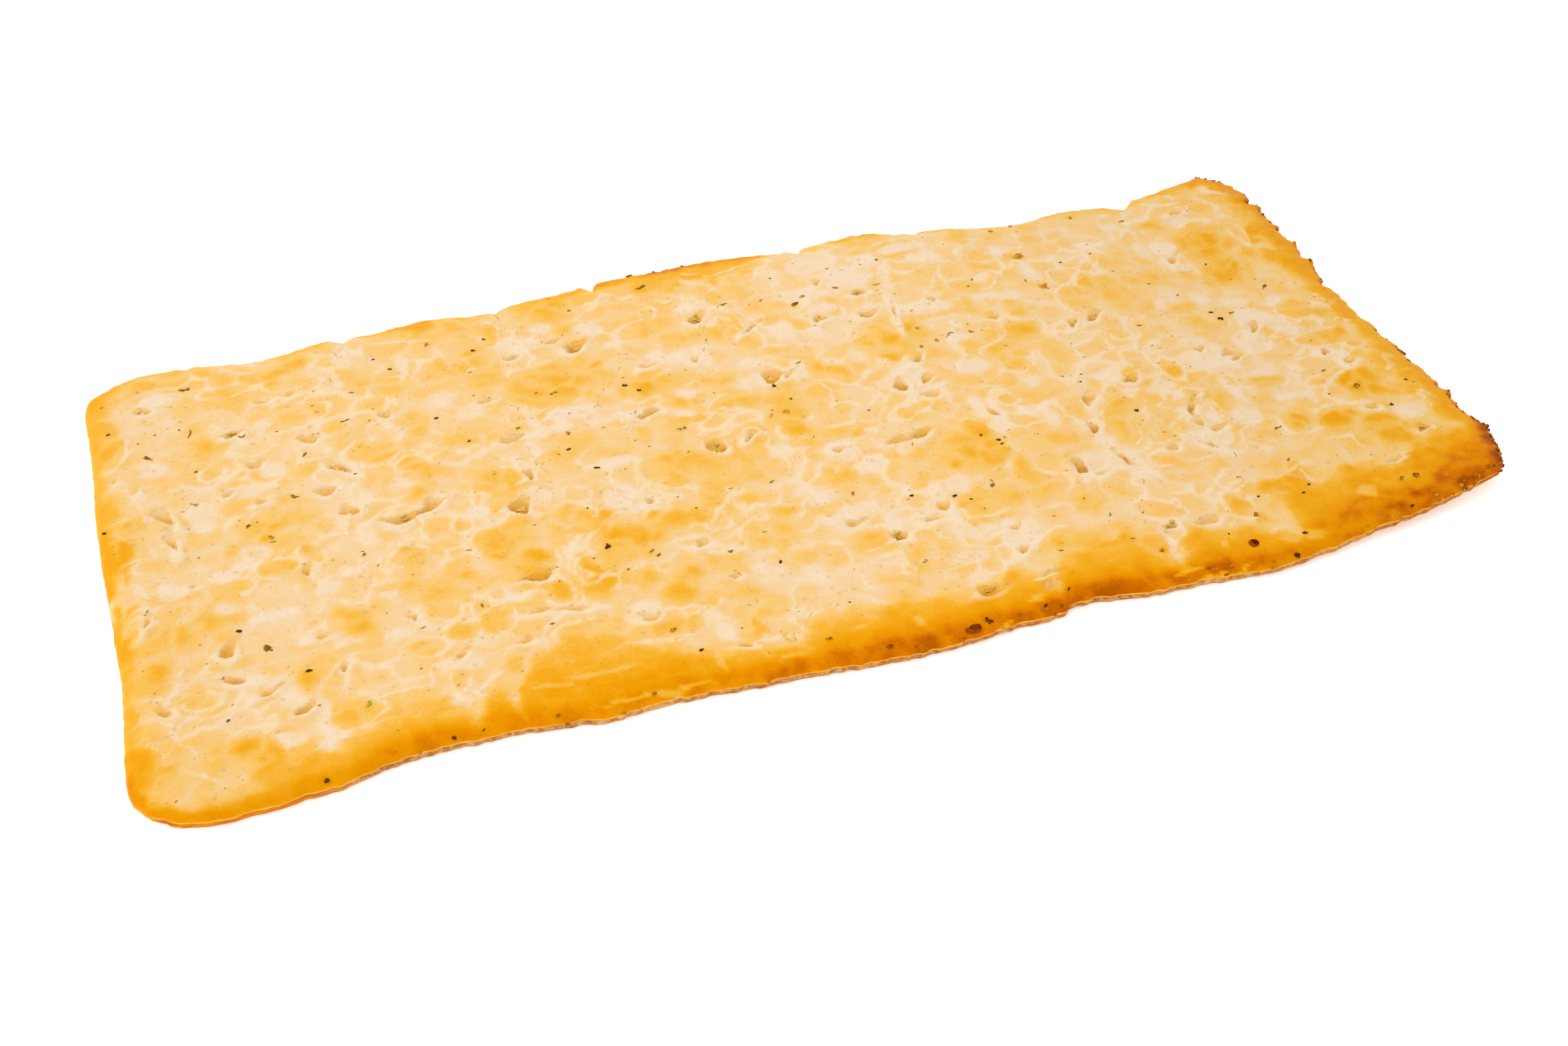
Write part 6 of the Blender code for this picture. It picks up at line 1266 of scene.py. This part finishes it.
x, y, length, width, turn, shade = CAULIFLOWER.T
bits = broken(x, y, length, width, np.radians(turn), shade, parts=4, seed=92)
whole = (x, y, length * 0.8, width * 0.8, np.radians(turn), shade)
x, y, length, width, turn, shade = (np.concatenate(pair) for pair in zip(whole, bits))
lay("cauliflower_bits", np.column_stack([x, y, top_at(x, y)]), length, width,
    np.full(len(x), BIT_HEIGHT), turn, shade, seed=85, material=cauliflower, corners=8)


# ---------------------------------------------------------------------------
# Specks: crumbs of leaf, pepper and browned starch too small to name, mostly 0.1 to
# 0.4 mm long, strewn over the whole top, and in short broken rows along hairline
# cracks. One mesh of closed lumps.
SPECK_COUNT = 620
SPECK_FROM_EDGE = 0.8
# Each crack as the places that it runs through
CRACKS = (
    ((-27.0, 38.0), (-27.0, 35.5), (-25.5, 34.0), (-24.8, 30.5)),
    ((-2.6, 27.0), (-2.5, 25.0), (-3.2, 22.5), (-4.5, 20.5)),
    ((-14.7, 21.5), (-16.0, 19.5), (-18.0, 17.5), (-20.3, 13.5)),
    ((-30.0, 17.5), (-28.0, 14.5), (-27.5, 13.0)),
    ((-30.0, 8.5), (-29.7, 4.5), (-29.0, 3.0)),
    ((-48.5, 36.0), (-48.3, 33.0)),
    ((-50.0, 30.5), (-50.2, 28.0)),
    ((-13.5, -22.0), (-12.7, -26.5), (-13.0, -28.0)),
    ((-7.5, -31.5), (-9.0, -32.8), (-12.0, -33.3)),
    ((37.3, -21.6), (35.0, -25.0), (33.0, -28.2)),
    ((49.8, -20.0), (49.0, -23.5), (47.2, -27.2)),
)
speck_x = rng.uniform(-79.5, 79.5, SPECK_COUNT)
speck_y = rng.uniform(-39.5, 41.0, SPECK_COUNT)
inside_sheet = distance_to(coarse_outline, speck_x, speck_y) > SPECK_FROM_EDGE
# A place is on the sheet where a line along X from it crosses an odd number of sides
ax, ay = coarse_outline.T[:, :, None]
bx, by = np.roll(coarse_outline, -1, 0).T[:, :, None]
crosses = (ay > speck_y) != (by > speck_y)
crosses &= speck_x < (bx - ax) * (speck_y - ay) / (by - ay + 1e-12) + ax
inside_sheet &= crosses.sum(0) % 2 == 1
speck_x, speck_y = speck_x[inside_sheet], speck_y[inside_sheet]
crack_x, crack_y = [], []
for crack in CRACKS:
    path = on_crust(crack)
    along = np.concatenate([[0.0], np.cumsum(np.hypot(*np.diff(path, axis=0).T))])
    at = np.arange(0.1, along[-1], 0.10)
    at = at[rng.uniform(0.0, 1.0, len(at)) < 0.45 + 0.55 * swells(at, 0.0 * at, 0.9, 93)]
    crack_x.append(np.interp(at, along, path[:, 0]) + 0.3 * ripples(at, 0.0 * at, 1.1, 86))
    crack_y.append(np.interp(at, along, path[:, 1]) + 0.3 * ripples(at, 0.0 * at, 1.1, 87))
crack_x, crack_y = np.concatenate(crack_x), np.concatenate(crack_y)
x, y = np.concatenate([speck_x, crack_x]), np.concatenate([speck_y, crack_y])
size = np.concatenate([0.11 + 0.27 * rng.uniform(0.0, 1.0, len(speck_x)) ** 2.5,
                       rng.uniform(0.07, 0.17, len(crack_x))])
stretch = np.concatenate([1.0 + 2.2 * rng.uniform(0.0, 1.0, len(speck_x)) ** 2.0,
                          rng.uniform(1.2, 2.4, len(crack_x))])
shade = np.concatenate([rng.uniform(0.05, 1.0, len(speck_x)) ** 0.8,
                        rng.uniform(0.55, 0.9, len(crack_x))])
speck = tinted("specks", ((0.0, "#76551A"), (0.25, "#8F681C"), (0.5, "#A87C26"), (0.75, "#BF8E30"),
                          (1.0, "#CE9838")), 0.8)
lay("specks", np.column_stack([x, y, top_at(x, y)]), size * stretch, size * 0.8, size * 0.5,
    rng.uniform(-0.6, 1.2, len(x)), shade, seed=88, material=speck, corners=5)


# ---------------------------------------------------------------------------
# Rim crumbs: rough bits of crust baked brown, left along the edge where the sheet
# was cut, thickest round the curled corner. One mesh of closed lumps.
# Stretches of the edge: (x, y, reach, count, shade from 0, golden, to 1, scorched)
CRUMBLED = (
    (80.5, -23.0, 6.0, 36, 0.55), (80.0, -29.5, 4.0, 60, 0.66), (77.0, -34.0, 4.0, 44, 0.58),
    (70.5, -36.0, 5.0, 26, 0.42), (60.0, -37.8, 7.0, 22, 0.45), (42.0, -39.7, 10.0, 22, 0.45),
    (10.0, -40.0, 12.0, 18, 0.55), (81.2, 28.0, 9.0, 26, 0.6), (80.7, 16.0, 8.0, 14, 0.6),
    (80.5, -7.0, 9.0, 14, 0.55), (79.0, 40.6, 3.0, 24, 0.72), (-32.0, -39.2, 22.0, 26, 0.35),
    (-4.0, 42.5, 9.0, 12, 0.68), (46.2, 38.4, 1.0, 6, 0.8), (-38.0, 40.5, 4.0, 6, 0.6),
)
picked, shade = [], []
for place_x, place_y, reach, count, level in CRUMBLED:
    nearest = np.hypot(outline[:, 0] - place_x, outline[:, 1] - place_y).argmin()
    at = run[nearest] + rng.triangular(-reach, 0.0, reach, count)
    picked.append(np.searchsorted(run, at % run[-1]) % len(run))
    shade.append(level + rng.uniform(-0.25, 0.25, count))
picked, shade = np.concatenate(picked), np.concatenate(shade)
inward = rng.uniform(0.0, 0.9, len(picked)) ** 1.5
x, y = (outline + fan * teeth[:, None])[picked].T - fan[picked].T * inward
length = rng.uniform(0.25, 0.9, len(x)) ** 1.3
turn = np.arctan2(fan[picked, 1], fan[picked, 0]) + math.pi / 2.0 + rng.uniform(-0.7, 0.7, len(x))
z = form_height(x, y, inward) - rng.uniform(0.0, 0.35, len(x)) * (inward < 0.35)
lay("rim_crumbs", np.column_stack([x, y, z]), length, length * rng.uniform(0.4, 0.8, len(x)),
    length * rng.uniform(0.35, 0.6, len(x)), turn, np.clip(shade, 0.0, 1.0), seed=94, material=toasted)


# ---------------------------------------------------------------------------
# The floor and the light: white paper that glows a little, as on a light table,
# under a large soft light from the left and a bright even surround, so that the
# sheet throws only a faint shadow. Sizes are in metres.
FLOOR_REACH = 3.0
PAPER_GLOW = 0.3
floor_corners = np.array([(-1.0, -1.0, 0.0), (1.0, -1.0, 0.0), (1.0, 1.0, 0.0), (-1.0, 1.0, 0.0)])
floor = put_in_scene("floor", FLOOR_REACH * floor_corners, [(0, 1, 2, 3)])
paper = bpy.data.materials.new("white_paper")
paper.use_nodes = True
paper_shader = paper.node_tree.nodes["Principled BSDF"]
paper_shader.inputs["Base Color"].default_value = linear("#FFFFFF")
paper_shader.inputs["Roughness"].default_value = 0.9
paper_shader.inputs["Specular IOR Level"].default_value = 0.1
paper_shader.inputs["Emission Color"].default_value = linear("#FFFFFF")
paper_shader.inputs["Emission Strength"].default_value = PAPER_GLOW
floor.data.materials.append(paper)

SOFTBOX_SIZE = 1.8
SOFTBOX_PLACE = np.array([-0.62, 0.18, 0.98])
SOFTBOX_WATTS = 10.9
softbox_data = bpy.data.lights.new("softbox", "AREA")
softbox_data.size = SOFTBOX_SIZE
softbox_data.energy = SOFTBOX_WATTS
softbox = bpy.data.objects.new("softbox", softbox_data)
softbox.location = SOFTBOX_PLACE
softbox.rotation_euler = (math.atan2(math.hypot(*SOFTBOX_PLACE[:2]), SOFTBOX_PLACE[2]), 0.0,
                          math.atan2(SOFTBOX_PLACE[0], -SOFTBOX_PLACE[1]))
bpy.context.scene.collection.objects.link(softbox)
surround = bpy.data.worlds.new("surround")
surround.use_nodes = True
surround.node_tree.nodes["Background"].inputs["Color"].default_value = linear("#FFFFFF")
surround.node_tree.nodes["Background"].inputs["Strength"].default_value = 1.0
bpy.context.scene.world = surround
bpy.context.scene.view_settings.view_transform = "Standard"
